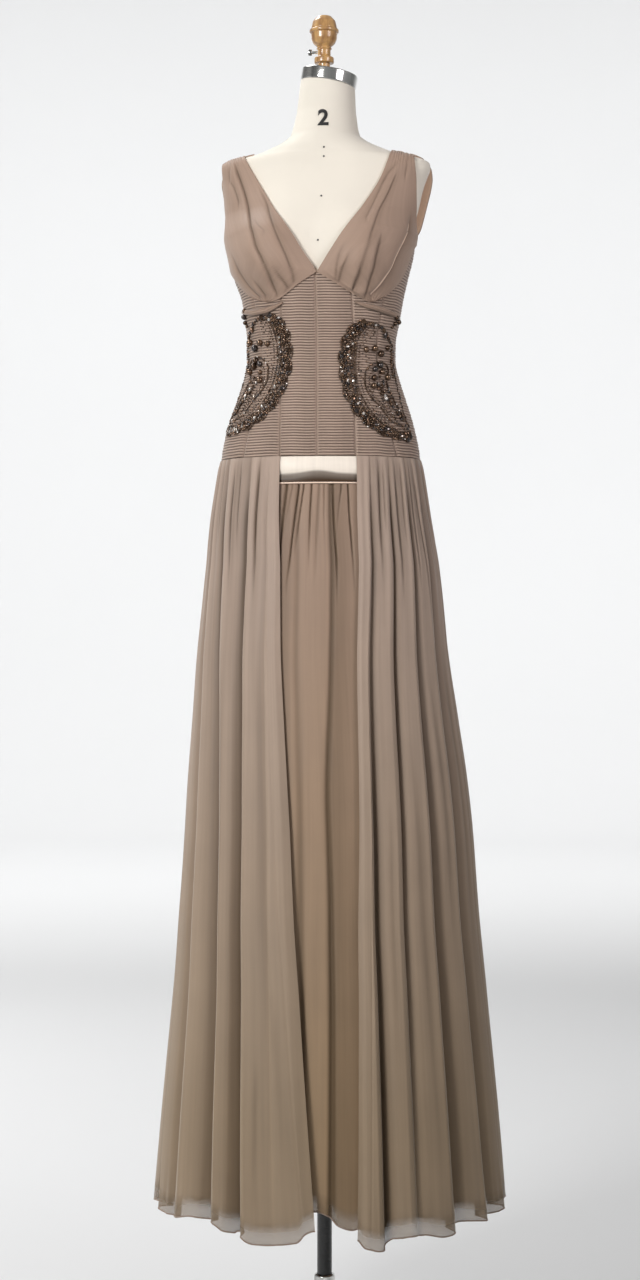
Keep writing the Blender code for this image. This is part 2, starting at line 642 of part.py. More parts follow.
def add_cup(name, edges):
    """Build a gathered cup with its shoulder strap, from the edge table.

    The rows run from the gathered point up to the shoulder. Soft folds run along the
    columns: they gather at the shoulder and at the lower point.
    """
    places = np.linspace(0.0, 1.0, len(edges["outer_x"]))
    wanted = np.array(CUP_ROWS)
    edge = {column: on_curve(places, values, wanted) for column, values in edges.items()}
    outer_turn = front_turn(edge["outer_x"], edge["outer_z"])
    inner_turn = front_turn(edge["inner_x"], edge["inner_z"])
    share = np.linspace(0.0, 1.0, CUP_COLUMNS)[None, :]
    turn = outer_turn[:, None] * (1 - share) + inner_turn[:, None] * share
    height = edge["outer_z"][:, None] * (1 - share) + edge["inner_z"][:, None] * share
    down = wanted[:, None]

    over_panel = np.clip((CUP_REST_TOP - height) / CUP_REST_FADE, 0.0, 1.0)
    base = STRAP_EASE + (CUP_OVER_PANEL - STRAP_EASE) * over_panel
    across = np.sin(np.pi * share)
    fullness = CUP_PUFF * across * np.sin(np.pi * down)
    folds = np.zeros_like(turn)
    grown = CUP_FOLD_START + (1 - CUP_FOLD_START) * down
    for place, rise, spread in zip(*CUP_FOLDS.values()):
        folds += rise * np.exp(-((share - place) / spread) ** 2) * grown
    inner = pushed_out(form_surface, turn, height, base + fullness)
    outer = pushed_out(form_surface, turn, height, base + fullness + CUP_WALL + folds)
    outer, inner = outer[::-1], inner[::-1]
    if outer_turn[0] > 0:
        outer, inner = outer[:, ::-1], inner[:, ::-1]
    return add_wall(name, outer, inner, "taupe_chiffon")


def add_back_bodice(name, side):
    """Build half of the back bodice, side +1 for right and -1 for left."""
    share = np.linspace(0.0, 1.0, BACK_COLUMNS)[None, :]
    rows = {column: values[::-1, None] for column, values in BACK_ROWS.items()}
    outer_height = rows["outer_height"].copy()
    outer_height[-1] = BACK_SHOULDER[side]
    height = outer_height * (1 - share) + rows["inner_height"] * share
    middle_gap = math.degrees(SEAM_GAP / 2 / 0.09)
    inner_turn = np.minimum(rows["inner_turn"], 180.0 - middle_gap)
    turn = np.radians(rows["outer_turn"] * (1 - share) + inner_turn * share)
    outer = pushed_out(back_surface, side * turn, height, BACK_WALL)
    inner = pushed_out(back_surface, side * turn, height, 0.0)
    if side < 0:
        outer, inner = outer[:, ::-1], inner[:, ::-1]
    return add_wall(name, outer, inner, "taupe_chiffon")


def add_empire_fold(name, path):
    """Build the raised fold that runs from a cup's gathered point to the side."""
    places = np.linspace(0.0, 1.0, len(path["side_x"]))
    wanted = np.linspace(0.0, 1.0, EMPIRE_POINTS)
    side_x = on_curve(places, path["side_x"], wanted)
    middle = on_curve(places, path["height"], wanted)
    half_width = on_curve(places, path["half_width"], wanted)
    turn = front_turn(side_x, middle)
    across = np.array(EMPIRE_ACROSS)[:, None]
    crown = np.array(EMPIRE_CROWN)[:, None]
    height = middle[None, :] + across * half_width[None, :]
    turn = np.broadcast_to(turn, height.shape)
    ends = np.sin(np.pi * np.linspace(0.06, 0.94, EMPIRE_POINTS))[None, :] ** 0.5
    inner = pushed_out(form_surface, turn, height, EMPIRE_INNER)
    outer = pushed_out(form_surface, turn, height,
                       EMPIRE_INNER + EMPIRE_WALL + EMPIRE_RISE * crown * ends)
    if turn[0, -1] < turn[0, 0]:
        outer, inner = outer[:, ::-1], inner[:, ::-1]
    return add_wall(name, outer, inner, "taupe_chiffon")


def round_to_turn(distance, height):
    """Return the turn on the form's front at a distance round it from the centre front."""
    samples = np.linspace(0.0, 1.9, 160)
    turns = np.empty_like(distance)
    for index in np.ndindex(distance.shape):
        ring = form_surface(samples, np.full_like(samples, height[index]))
        lengths = np.linalg.norm(np.diff(ring, axis=0), axis=1)
        turns[index] = np.interp(distance[index], np.concatenate([[0.0], np.cumsum(lengths)]),
                                 samples)
    return turns


def add_applique(name, side):
    """Build a thick beaded paisley, side +1 for right and -1 for left."""
    places = np.linspace(0.0, 1.0, len(PAISLEY["round"]))
    wanted = (1 - np.cos(np.pi * np.linspace(0.03, 0.985, PAISLEY_ROWS))) / 2
    middle_round = on_curve(places, PAISLEY["round"], wanted)
    middle_height = on_curve(places, PAISLEY["height"], wanted)
    half_width = on_curve(places, PAISLEY["half_width"], wanted)
    along = np.stack([np.gradient(middle_round), np.gradient(middle_height)])
    along /= np.linalg.norm(along, axis=0)
    scallop = PAISLEY_SCALLOP_DEPTH * np.abs(np.sin(np.pi * PAISLEY_SCALLOPS * wanted))
    across = np.array(PAISLEY_ACROSS)[:, None]
    width = across * half_width + np.where(across < 0, -scallop, 0.0) * np.abs(across) ** 4
    distance = middle_round[None, :] - width * along[1][None, :]
    height = middle_height[None, :] + width * along[0][None, :] - PAISLEY_DROP[side]
    turn = side * round_to_turn(distance, height)
    rise = np.array(PAISLEY_RISE)[:, None] * np.ones_like(height)
    inner = pushed_out(form_surface, turn, height, PAISLEY_INNER)
    outer = pushed_out(form_surface, turn, height, PAISLEY_INNER + rise)
    outer, inner = outer.transpose(1, 0, 2)[::-1], inner.transpose(1, 0, 2)[::-1]
    if side < 0:
        outer, inner = outer[:, ::-1], inner[:, ::-1]
    return add_wall(name, outer, inner, "bead_work")


def valley_turns(height):
    """Return the turn of every valley at a height."""
    turns = np.stack([VALLEYS["hem"], VALLEYS["middle"], VALLEYS["seam"]])
    return np.radians([on_curve(VALLEY_HEIGHTS[::-1], turns[:, i], height)
                       for i in range(turns.shape[1])])


def overlay_row(height, first, last):
    """Return the turns and depths of the overlay's columns at a height, for some flutes."""
    turns = valley_turns(height)
    hem, seam = OVERLAY_ROWS[0], OVERLAY_ROWS[-1]
    seam_share = (height - hem) / (seam - hem)
    deep = VALLEYS["hem_depth"] * (1 - seam_share) + VALLEYS["seam_depth"] * seam_share
    flute = section(SKIRT_SECTIONS, "flute", height)
    gather = section(SKIRT_SECTIONS, "gather", height)
    row_turns, depths = [], []
    for valley in range(first, last):
        for place, low, gathered in zip(*FLUTE_COLUMNS.values()):
            row_turns.append(turns[valley] * (1 - place) + turns[valley + 1] * place)
            near = deep[valley] * (1 - place) + deep[valley + 1] * place
            depths.append(flute * low * near + gather * gathered)
    row_turns.append(turns[last])
    depths.append(flute * deep[last] + gather)
    return np.array(row_turns), np.array(depths)


def add_overlay_piece(name, first, last):
    """Build a piece of the outer skirt from its first to its last valley."""
    outer, inner = [], []
    for height in OVERLAY_ROWS:
        turns, depths = overlay_row(height, first, last)
        half_gap = SEAM_GAP / 2 / section(SKIRT_SECTIONS, "front", height)
        turns[0] += half_gap
        turns[-1] -= half_gap
        heights = np.full_like(turns, height)
        line = pushed_out(skirt_surface, turns, heights, -depths)
        outer.append(line)
        inner.append(line - SKIRT_WALL * line_normals(line))
    return add_wall(name, np.array(outer), np.array(inner), "taupe_chiffon")


def line_normals(line, around=False):
    """Return outward level normals at the points of a level line, lengthened at its bends."""
    if around:
        padded = np.concatenate([line[-1:], line, line[:1]])
    else:
        padded = np.concatenate([line[:1] * 2 - line[1:2], line, line[-1:] * 2 - line[-2:-1]])
    steps = np.diff(padded[:, :2], axis=0)
    sides = np.stack([steps[:, 1], -steps[:, 0]], axis=1)
    sides /= np.linalg.norm(sides, axis=1, keepdims=True)
    both = sides[:-1] + sides[1:]
    both /= np.linalg.norm(both, axis=1, keepdims=True)
    bend = np.clip(np.sum(both * sides[1:], axis=1), 0.75, 1.0)
    return np.concatenate([both / bend[:, None], np.zeros((len(line), 1))], axis=1)


def layer_inset(height, layer):
    """Return how far a skirt layer's outer side lies inside the outline.

    Layer 1 is the underskirt, below the overlay's valleys. Layer 2 is the lining.
    """
    depth = section(SKIRT_SECTIONS, "flute", height) + section(SKIRT_SECTIONS, "gather", height)
    step = SKIRT_WALL + section(SKIRT_SECTIONS, "clearance", height)
    inset = depth + step
    if layer == 2:
        inset = inset + UNDERSKIRT_FOLD_SHARE * depth + step
    return inset


def add_layer(name, rows, columns, layer, folds, finish_name):
    """Build a skirt layer that goes all the way round, rows from the hem up."""
    turns = 2 * np.pi * np.arange(columns) / columns
    outer, inner = [], []
    for row in rows:
        heights = np.broadcast_to(row, turns.shape)
        depth = section(SKIRT_SECTIONS, "flute", heights) + section(
            SKIRT_SECTIONS, "gather", heights)
        wave = (1 - np.cos(folds * turns)) / 2 * UNDERSKIRT_FOLD_SHARE * depth
        line = pushed_out(skirt_surface, turns, heights, -layer_inset(heights, layer) - wave)
        outer.append(line)
        inner.append(line - SKIRT_WALL * line_normals(line, around=True))
    return add_wall(name, np.array(outer), np.array(inner), finish_name, around=True)


def underskirt_rows():
    """Return the heights of the underskirt's points: it stops below the band in front."""
    column = 360.0 / UNDERSKIRT_COLUMNS
    turns = (column * np.arange(UNDERSKIRT_COLUMNS) + 180.0) % 360.0 - 180.0
    under_band = (turns > BAND_TURNS[0] - column) & (turns < BAND_TURNS[1] + column)
    top = np.where(under_band, BAND_HEIGHTS[0] - SEAM_GAP, UNDERSKIRT_TOP)
    below = [np.full(UNDERSKIRT_COLUMNS, height) for height in UNDERSKIRT_ROWS]
    return below + [top]


def build_band():
    """Build the satin band that fills the front opening below the hip seam."""
    turns = np.radians(np.linspace(*BAND_TURNS, BAND_COLUMNS))
    across = np.linspace(-BAND_FLAT, BAND_FLAT, BAND_COLUMNS)
    bulge = BAND_BULGE * np.clip(np.cos(np.pi / 2 * across), 0.0, 1.0)
    outer, inner = [], []
    for height in BAND_HEIGHTS:
        heights = np.full_like(turns, height)
        inset = layer_inset(heights, 1)
        line = pushed_out(skirt_surface, turns, heights, bulge - inset)
        outer.append(line)
        inner.append(line - SKIRT_WALL * line_normals(line))
    return add_wall("satin_band", np.array(outer), np.array(inner), "champagne_satin")


def build_gown():
    """Build every cloth piece of the gown."""
    build_midriff()
    add_cup("cup_left", CUP_LEFT)
    add_cup("cup_right", CUP_RIGHT)
    add_back_bodice("back_bodice_left", -1)
    add_back_bodice("back_bodice_right", 1)
    add_empire_fold("empire_fold_left", EMPIRE_LEFT)
    add_empire_fold("empire_fold_right", EMPIRE_RIGHT)
    add_applique("bead_applique_left", -1)
    add_applique("bead_applique_right", 1)
    for name, (first, last) in OVERLAY_PIECES.items():
        add_overlay_piece(name, first, last)
    build_band()
    add_layer("underskirt", underskirt_rows(), UNDERSKIRT_COLUMNS, 1, UNDERSKIRT_FOLDS,
              "taupe_chiffon")
    add_layer("lining", LINING_ROWS, LINING_COLUMNS, 2, 0, "warm_lining")


# ================================================================ form and stand
def neck_top_ring(turns):
    """Return the leaning ring at the top of the neck."""
    x = NECK_TOP_RADIUS * np.sin(turns)
    y = -NECK_TOP_RADIUS * np.cos(turns)
    centre = NECK_TOP_CENTRE
    return points(centre[0] + x * math.cos(NECK_LEAN), centre[1] + y,
                  centre[2] - x * math.sin(NECK_LEAN))


def build_torso():
    """Build the smooth body of the form, whole from the neck to the flat underside."""
    turns = 2 * np.pi * np.arange(FORM_COLUMNS) / FORM_COLUMNS
    rings = []
    for row, height in enumerate(FORM_ROWS):
        inset = FORM_INSET + (FORM_BOTTOM_CHAMFER if row == 0 else 0.0)
        ring = pushed_out(form_surface, turns, height, -inset)
        ring[:, 2] = height
        rings.append(ring)
    rings.append(neck_top_ring(turns))
    vertices = np.concatenate(rings)
    faces = grid_faces(len(rings), FORM_COLUMNS, 0, around=True)
    faces.append(tuple(range(FORM_COLUMNS))[::-1])
    faces.append(tuple(range((len(rings) - 1) * FORM_COLUMNS, len(rings) * FORM_COLUMNS)))
    add_object("form_torso", mesh_of("form_torso", vertices, faces), "cream_jersey")


def build_neck_cap():
    """Build the polished metal cap on the neck."""
    profile = ((0.0, CAP_HEIGHT), (CAP_RADIUS - CAP_EDGE, CAP_HEIGHT),
               (CAP_RADIUS, CAP_HEIGHT - CAP_EDGE), (CAP_RADIUS, CAP_EDGE),
               (CAP_RADIUS - CAP_EDGE, 0.0), (0.0, 0.0))
    lift = SEAM_GAP
    centre = (NECK_TOP_CENTRE[0] + lift * math.sin(NECK_LEAN), NECK_TOP_CENTRE[1],
              NECK_TOP_CENTRE[2] + lift * math.cos(NECK_LEAN))
    cap = add_turned("neck_cap", profile, centre, "polished_metal", CAP_STEPS)
    cap.rotation_euler = (0.0, NECK_LEAN, 0.0)


def build_finial():
    """Build the turned wooden finial, its spindle and its thumbscrew."""
    add_turned("finial", FINIAL_PROFILE, (FINIAL_X, 0.0, FINIAL_FOOT_HEIGHT), "turned_wood",
               FINIAL_STEPS)
    start = FINIAL_X - FINIAL_STEM - SEAM_GAP
    bpy.ops.mesh.primitive_cylinder_add(vertices=SCREW_HEAD_STEPS, radius=SCREW_HEAD_RADIUS,
                                        depth=SCREW_HEAD_LENGTH)
    take_primitive("thumbscrew", "polished_metal",
                   (start - SCREW_SHANK_LENGTH - SCREW_HEAD_LENGTH / 2, 0.0, SCREW_HEIGHT),
                   (0.0, math.radians(90), 0.0))
    bpy.ops.mesh.primitive_cylinder_add(vertices=SCREW_SHANK_STEPS, radius=SCREW_SHANK_RADIUS,
                                        depth=SCREW_SHANK_LENGTH - SEAM_GAP)
    take_primitive("thumbscrew_shank", "polished_metal",
                   (start - SCREW_SHANK_LENGTH / 2, 0.0, SCREW_HEIGHT),
                   (0.0, math.radians(90), 0.0))


def take_primitive(name, finish_name, location, rotation=(0.0, 0.0, 0.0)):
    """Move the primitive that was just added into the part's collection."""
    thing = bpy.context.object
    thing.name = name
    thing.data.name = name
    thing.data.materials.append(finish(finish_name))
    thing.data.shade_smooth()
    thing.data.set_sharp_from_angle(angle=math.radians(40))
    thing.location = location
    thing.rotation_euler = rotation
    for collection in list(thing.users_collection):
        collection.objects.unlink(thing)
    bpy.data.collections[COLLECTION_NAME].objects.link(thing)
    return thing


def build_stand():
    """Build the pole with its flange, the height collar, the sleeve and the round base."""
    length = POLE_TOP - POLE_FOOT
    bpy.ops.mesh.primitive_cylinder_add(vertices=FITTING_STEPS, radius=POLE_RADIUS, depth=length)
    take_primitive("pole", "black_metal", (0.0, 0.0, POLE_FOOT + length / 2))
    add_turned("pole_flange", FLANGE_PROFILE,
               (0.0, 0.0, FORM_SECTIONS["height"][0] - SEAM_GAP), "black_metal", FITTING_STEPS)
    add_turned("height_collar", COLLAR_PROFILE, (0.0, 0.0, COLLAR_TOP), "polished_metal",
               FITTING_STEPS)
    sleeve_foot = BASE_PROFILE[0][1] + SEAM_GAP
    sleeve = SLEEVE_TOP - sleeve_foot
    bpy.ops.mesh.primitive_cylinder_add(vertices=FITTING_STEPS, radius=SLEEVE_RADIUS, depth=sleeve)
    take_primitive("pole_sleeve", "black_metal", (0.0, 0.0, sleeve_foot + sleeve / 2))
    add_turned("stand_base", BASE_PROFILE, (0.0, 0.0, 0.0), "black_metal", BASE_STEPS)


def main():
    """Build the whole part in its own collection."""
    for thing in list(bpy.data.objects):
        bpy.data.objects.remove(thing, do_unlink=True)
    bpy.context.scene.collection.children.link(bpy.data.collections.new(COLLECTION_NAME))
    build_torso()
    build_neck_cap()
    build_finial()
    build_stand()
    build_gown()


main()
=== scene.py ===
"""Looks of a sleeveless V-neck evening gown on a limbless dress form with a pole stand.

Metres, +Z up. The front faces -Y, and left (-X) and right (+X) are those of someone who looks
at it. A place on a body is given by its turn, 0 at the centre front and 90 degrees at +X, and
by its height. Every surface is worked out on a grid of two parameters, as whole arrays.
"""

import logging
import math
from dataclasses import dataclass, field
from enum import Enum
from typing import Sequence

import bpy
import numpy as np
from bpy.types import Material, Mesh, Node, NodeSocket, NodeTree, Object
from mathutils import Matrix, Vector


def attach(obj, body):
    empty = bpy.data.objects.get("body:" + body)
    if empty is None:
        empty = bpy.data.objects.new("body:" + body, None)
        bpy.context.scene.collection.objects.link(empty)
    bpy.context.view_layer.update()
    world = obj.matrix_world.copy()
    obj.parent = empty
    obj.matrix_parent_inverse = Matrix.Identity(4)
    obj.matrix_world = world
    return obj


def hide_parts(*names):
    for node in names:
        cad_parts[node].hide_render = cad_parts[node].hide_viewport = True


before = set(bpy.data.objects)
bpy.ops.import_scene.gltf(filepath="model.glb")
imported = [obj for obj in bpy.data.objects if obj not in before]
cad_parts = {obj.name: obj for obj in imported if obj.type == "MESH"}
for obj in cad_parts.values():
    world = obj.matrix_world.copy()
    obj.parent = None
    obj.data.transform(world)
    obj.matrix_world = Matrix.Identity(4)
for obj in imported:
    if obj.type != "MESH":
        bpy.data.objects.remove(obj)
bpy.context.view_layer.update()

Array = np.ndarray
LOG = logging.getLogger("gown")
SEED = 20


# ---- numbers
def table(columns: str, *rows: Sequence[float]) -> dict[str, Array]:
    """Return a table as one array for each named column."""
    return dict(zip(columns.split(), np.array(rows, dtype=float).T))


def mm_table(columns: str, *rows: Sequence[float]) -> dict[str, Array]:
    """Return a table that is written in millimetres as arrays of metres."""
    return {key: values / 1000 for key, values in table(columns, *rows).items()}


def on_curve(known: Array, values: Array, wanted: Array) -> Array:
    """Read a curve through known points that never overshoots them (monotone cubic).

    Args:
        known: Rising places of the known points.
        values: Their values.
        wanted: Places to read, of any shape.

    Returns:
        The value at each wanted place.
    """
    known, values = np.asarray(known, float), np.asarray(values, float)
    wanted = np.asarray(wanted, float)
    steps = np.diff(known)
    slopes = np.diff(values) / steps
    ends = np.zeros_like(values)
    ends[0], ends[-1] = slopes[0], slopes[-1]
    same_way = slopes[:-1] * slopes[1:] > 0
    before, after = slopes[:-1][same_way], slopes[1:][same_way]
    ends[1:-1][same_way] = 2 * before * after / (before + after)
    index = np.clip(np.searchsorted(known, wanted, side="right") - 1, 0, len(steps) - 1)
    part = np.clip((wanted - known[index]) / steps[index], 0.0, 1.0)
    rest = 1.0 - part
    return (values[index] * (1 + 2 * part) * rest**2 + values[index + 1] * (3 - 2 * part) * part**2
            + steps[index] * part * rest * (ends[index] * rest - ends[index + 1] * part))


def smooth(low: float, high: float, value: Array) -> Array:
    """Rise softly from 0 at low to 1 at high, 3 t squared less 2 t cubed."""
    share = np.clip((np.asarray(value, float) - low) / (high - low), 0.0, 1.0)
    return share * share * (3 - 2 * share)


def window(rise: Sequence[float], fall: Sequence[float], value: Array) -> Array:
    """Rise softly over one pair of places and fall softly over the other."""
    return smooth(*rise, value) * (1 - smooth(*fall, value))


def blend(one: Array, other: Array, share: Array) -> Array:
    """Return one where the share is 0 and the other where it is 1, and a mix between."""
    return one * (1 - share) + other * share


def even(count: int) -> Array:
    """Return even steps from 0 to 1."""
    return np.linspace(0.0, 1.0, count)


def gaps(points: Array, axis: int = 0) -> Array:
    """Return the distances between neighbouring points along an axis."""
    return np.linalg.norm(np.diff(points, axis=axis), axis=-1)


def summed(steps: Array) -> Array:
    """Return running totals from 0 along the last axis."""
    return np.concatenate([np.zeros((*steps.shape[:-1], 1)), np.cumsum(steps, axis=-1)], axis=-1)


def direction(vectors: Array) -> Array:
    """Return vectors of length 1."""
    return vectors / np.linalg.norm(vectors, axis=-1, keepdims=True)


def bump(place: Array, centre: float, spread: float) -> Array:
    """Return a round rise, 1 at its centre and gone about twice its spread away."""
    return np.exp(-((place - centre) / spread) ** 2)


def wander(turn: Array, seed: int, waves: int = 5, lowest: int = 2) -> Array:
    """Return a soft uneven wave of about -1 to 1 that closes after a whole turn.

    Args:
        turn: Angles in radians.
        seed: Chooses the wave.
        waves: How many sines are added up.
        lowest: Whole waves in a turn of the slowest sine.

    Returns:
        The sum of sines of rising frequency and random phase.
    """
    random = np.random.default_rng(seed)
    total = np.zeros_like(np.asarray(turn, float))
    for step in range(waves):
        total = total + np.sin((lowest + 2 * step) * turn + random.uniform(0, 2 * np.pi)) / (1 + step)
    return total / 1.8


# ---- bodies
@dataclass
class Oval:
    """A surface all round the pole, whose level sections are ellipses.

    Each row has its own half width, depth in front and behind, and shift to the side.
    """

    rows: dict[str, Array]

    def size(self, column: str, height: Array) -> Array:
        """Read one size at a height."""
        return on_curve(self.rows["height"], self.rows[column], height)

    def point(self, turn: Array, height: Array) -> Array:
        """Return (shift + half width sin turn, -depth cos turn, height)."""
        turn, height = np.broadcast_arrays(turn, height)
        cosine = np.cos(turn)
        depth = np.where(cosine > 0, self.size("front", height), self.size("back", height))
        side = self.size("half_width", height) * np.sin(turn)
        return np.stack([self.size("shift", height) + side, -depth * cosine, height], axis=-1)

    def out(self, turn: Array, height: Array, distance: Array) -> Array:
        """Return points at a distance along the outward normal (the cross product of steps)."""
        turn, height, distance = np.broadcast_arrays(turn, height, distance)
        step = 1e-4
        along = self.point(turn + step, height) - self.point(turn - step, height)
        up = self.point(turn, height + step) - self.point(turn, height - step)
        return self.point(turn, height) + direction(np.cross(along, up)) * distance[..., None]

    def normal(self, turn: Array, height: Array) -> Array:
        """Return outward unit normals."""
        return self.out(turn, height, 1.0) - self.out(turn, height, 0.0)


@dataclass
class FormBody(Oval):
    """The bare dress form: ovals with a pair of rounded rises for the bust."""

    bust_rise: float = 0.024
    bust_spread: float = 0.074
    bust_width: float = 0.046
    bust_height: float = 1.697
    bust_above: float = 0.062
    bust_below: float = 0.031
    side_fade: float = 0.6

    def point(self, turn: Array, height: Array) -> Array:
        """Return the oval moved forwards by two bell-shaped rises on its front."""
        found = super().point(turn, height)
        side = found[..., 0] - self.size("shift", found[..., 2])
        level = found[..., 2]
        fade = np.where(level > self.bust_height, self.bust_above, self.bust_below)
        rise = self.bust_rise * np.exp(-((np.abs(side) - self.bust_spread) / self.bust_width) ** 2
                                       - ((level - self.bust_height) / fade) ** 2)
        share = smooth(0.0, self.side_fade, np.cos(np.broadcast_to(turn, level.shape)))
        moved = found.copy()
        moved[..., 1] -= rise * share
        return moved

    def front_turn(self, side_x: Array, height: Array) -> Array:
        """Return the turn on the front where the side distance is as given (arc sine)."""
        share = (side_x - self.size("shift", height)) / self.size("half_width", height)
        return np.arcsin(np.clip(share, -1.0, 1.0))

    def round_to_turn(self, distance: Array, height: Array) -> Array:
        """Return turns at distances round the front, by adding up chords of 160 steps."""
        samples = np.linspace(0.0, 1.9, 160)
        ring = self.point(samples[None, :], height[:, None])
        lengths = gaps(ring, 1)
        total = summed(lengths)
        index = np.clip((total < distance[:, None]).sum(axis=1) - 1, 0, len(samples) - 2)
        pick = np.arange(len(height))
        part = (distance - total[pick, index]) / lengths[pick, index]
        return samples[index] + part * (samples[1] - samples[0])


FORM = FormBody(mm_table(
    "height half_width front back shift",
    (1200, 138, 100, 106, -3), (1250, 143, 103, 109, -4), (1300, 146.5, 105, 111, -5),
    (1350, 148, 106.5, 111.5, -6), (1397, 149, 108, 112, -6), (1430, 144, 105, 107, -6),
    (1460, 136, 101, 101, -5.5), (1490, 126, 96, 94, -5), (1520, 116, 91, 87, -4.5),
    (1550, 109.5, 87, 82, -4.5), (1580, 110, 87, 81, -4.5), (1610, 114.5, 91, 83, -3.5),
    (1645, 120, 96, 87, -3), (1680, 130, 101, 90, -5), (1710, 138, 102, 91, -5.5),
    (1740, 143, 98, 90, -6), (1770, 149, 89, 87, -1), (1800, 154.5, 79, 82, 1.5),
    (1825, 157.5, 71, 77, 2), (1838, 160.5, 67.5, 74, 2), (1848, 163, 65, 71.5, 2),
    (1854, 162, 64, 70, 2), (1858, 157.5, 63.5, 68.5, 2), (1861.5, 148, 63.2, 66.5, 2),
    (1864.5, 136, 63, 65.5, 2), (1868, 119, 62, 64, 2), (1878, 91, 61, 60, 1.8), (1888, 69, 59, 56, 1.6),
    (1900, 54.5, 56, 52, 1.5), (1935, 46.5, 48, 46, 3)))

BACK_SHELL_ROWS = mm_table(
    "height half_width back shift",
    (1649, 123.2, 89.3, -3), (1700, 138.5, 93.5, -5), (1738, 148.5, 95, -3), (1763, 152.5, 92, -0.5),
    (1790, 158, 89, 1), (1819, 164.8, 83, 1.8), (1835, 167.5, 79.5, 1.8), (1847, 168, 76.5, 2),
    (1854, 166.5, 74.5, 2), (1859, 162, 73, 2), (1863.5, 153, 71.5, 2), (1867, 140, 69.5, 2),
    (1870, 126.5, 68, 2), (1874, 114, 66.5, 2), (1879, 103, 65, 2))
BACK_SHELL = Oval({**BACK_SHELL_ROWS, "front": BACK_SHELL_ROWS["back"]})

SKIRT = Oval(mm_table(
    "height half_width front back shift flute gather",
    (257.5, 274.5, 268, 269, 8.5, 20, 0), (398, 262, 251, 253, 8.5, 18.5, 0),
    (585, 244, 227, 230, 8, 16.5, 0), (717, 233, 210, 214, 6, 14.5, 0), (819, 225.5, 197, 201, 6, 13, 0),
    (914, 217, 185, 189, 4, 11, 0), (993, 208, 173, 178, 1, 9.5, 0), (1120, 194.5, 156, 161, -3, 7, 0.5),
    (1228, 183, 142, 147, -3, 4.5, 2), (1275, 177, 135.5, 140, -4.8, 3.5, 2.8),
    (1320, 170.5, 129, 134, -6, 2.5, 3.4), (1360, 164, 122.5, 127.5, -6, 1.2, 3.6),
    (1385, 159.5, 118.5, 123, -6, 0.4, 2.6), (1397, 156, 115, 119, -6, 0, 1.2)))


# ---- meshes
def quads(rows: int, columns: int, around: bool) -> tuple[Array, Array]:
    """Return a grid's quads and a mark on those that cross the closing column."""
    row = np.arange(rows - 1)[:, None] * columns
    column = np.arange(columns if around else columns - 1)[None, :]
    after = (column + 1) % columns
    low_left, low_right = row + column, row + after
    faces = np.stack([low_left, low_right, low_right + columns, low_left + columns], axis=-1)
    wraps = np.broadcast_to(after < column, low_left.shape)
    return faces.reshape(-1, 4), wraps.reshape(-1)


def strip(one: Array, other: Array) -> Array:
    """Return the quads between two rows of point numbers."""
    return np.stack([one[:-1], one[1:], other[1:], other[:-1]], axis=-1)


def new_mesh(name: str, points: Array, faces: Sequence, sharp: float = 50.0) -> Mesh:
    """Return a smooth mesh, with edges over the sharp angle in degrees left hard."""
    mesh = bpy.data.meshes.new(name)
    mesh.from_pydata(np.asarray(points, float).tolist(), [], [list(map(int, f)) for f in faces])
    mesh.shade_smooth()
    mesh.set_sharp_from_angle(angle=math.radians(sharp))
    return mesh


def lay_uv(mesh: Mesh, uv: Array) -> None:
    """Write a UV map, one pair in metres for each face corner."""
    layer = mesh.uv_layers.new(name="cloth")
    layer.uv.foreach_set("vector", uv.astype(np.float32).ravel())


@dataclass
class Wall:
    """A closed thin wall between an outer and an inner grid of points.

    Rows run upwards and columns to the right of someone who looks at the outer side.
    """

    outer: Array
    inner: Array
    around: bool = False
    marks: dict[str, Array] = field(default_factory=dict)

    def lengths(self) -> Array:
        """Return the cloth's own coordinates: metres across and metres up, at each point."""
        across = summed(gaps(self.outer, 1).mean(axis=0))
        up = summed(gaps(self.outer).mean(axis=1))
        return np.stack(np.broadcast_arrays(across[None, :], up[:, None]), axis=-1)

    def mesh(self, name: str) -> Mesh:
        """Return the wall as a mesh; the inner side and the rims are its second material."""
        rows, columns = self.outer.shape[:2]
        count = rows * columns
        face, wraps = quads(rows, columns, self.around)
        ring = np.arange(columns)
        if self.around:
            ring = np.append(ring, 0)
        top = (rows - 1) * columns + ring
        rims = [strip(count + ring, ring), strip(top, count + top)]
        if not self.around:
            left = np.arange(rows) * columns
            right = left + columns - 1
            rims += [strip(left, count + left), strip(count + right, right)]
        rims = np.concatenate(rims)
        faces = np.concatenate([face, face[:, ::-1] + count, rims])
        points = np.concatenate([self.outer.reshape(-1, 3), self.inner.reshape(-1, 3)])
        mesh = new_mesh(name, points, faces)
        uv = np.tile(self.lengths().reshape(-1, 2), (2, 1))
        step = uv[1, 0] - uv[0, 0]
        corners = uv[faces]
        wrapped = np.concatenate([wraps, wraps, np.zeros(len(rims), bool)])
        first = corners[wrapped, :, 0]
        corners[wrapped, :, 0] = np.where(first < step / 2, uv[:, 0].max() + step, first)
        lay_uv(mesh, corners.reshape(-1, 2))
        inside = np.zeros(len(faces), np.int32)
        inside[len(face):2 * len(face)] = 1
        mesh.polygons.foreach_set("material_index", inside)
        for mark, values in self.marks.items():
            whole = np.broadcast_to(values, (rows, columns)).ravel()
            attribute = mesh.attributes.new(mark, "FLOAT", "POINT")
            attribute.data.foreach_set("value", np.tile(whole, 2).astype(np.float32))
        return mesh


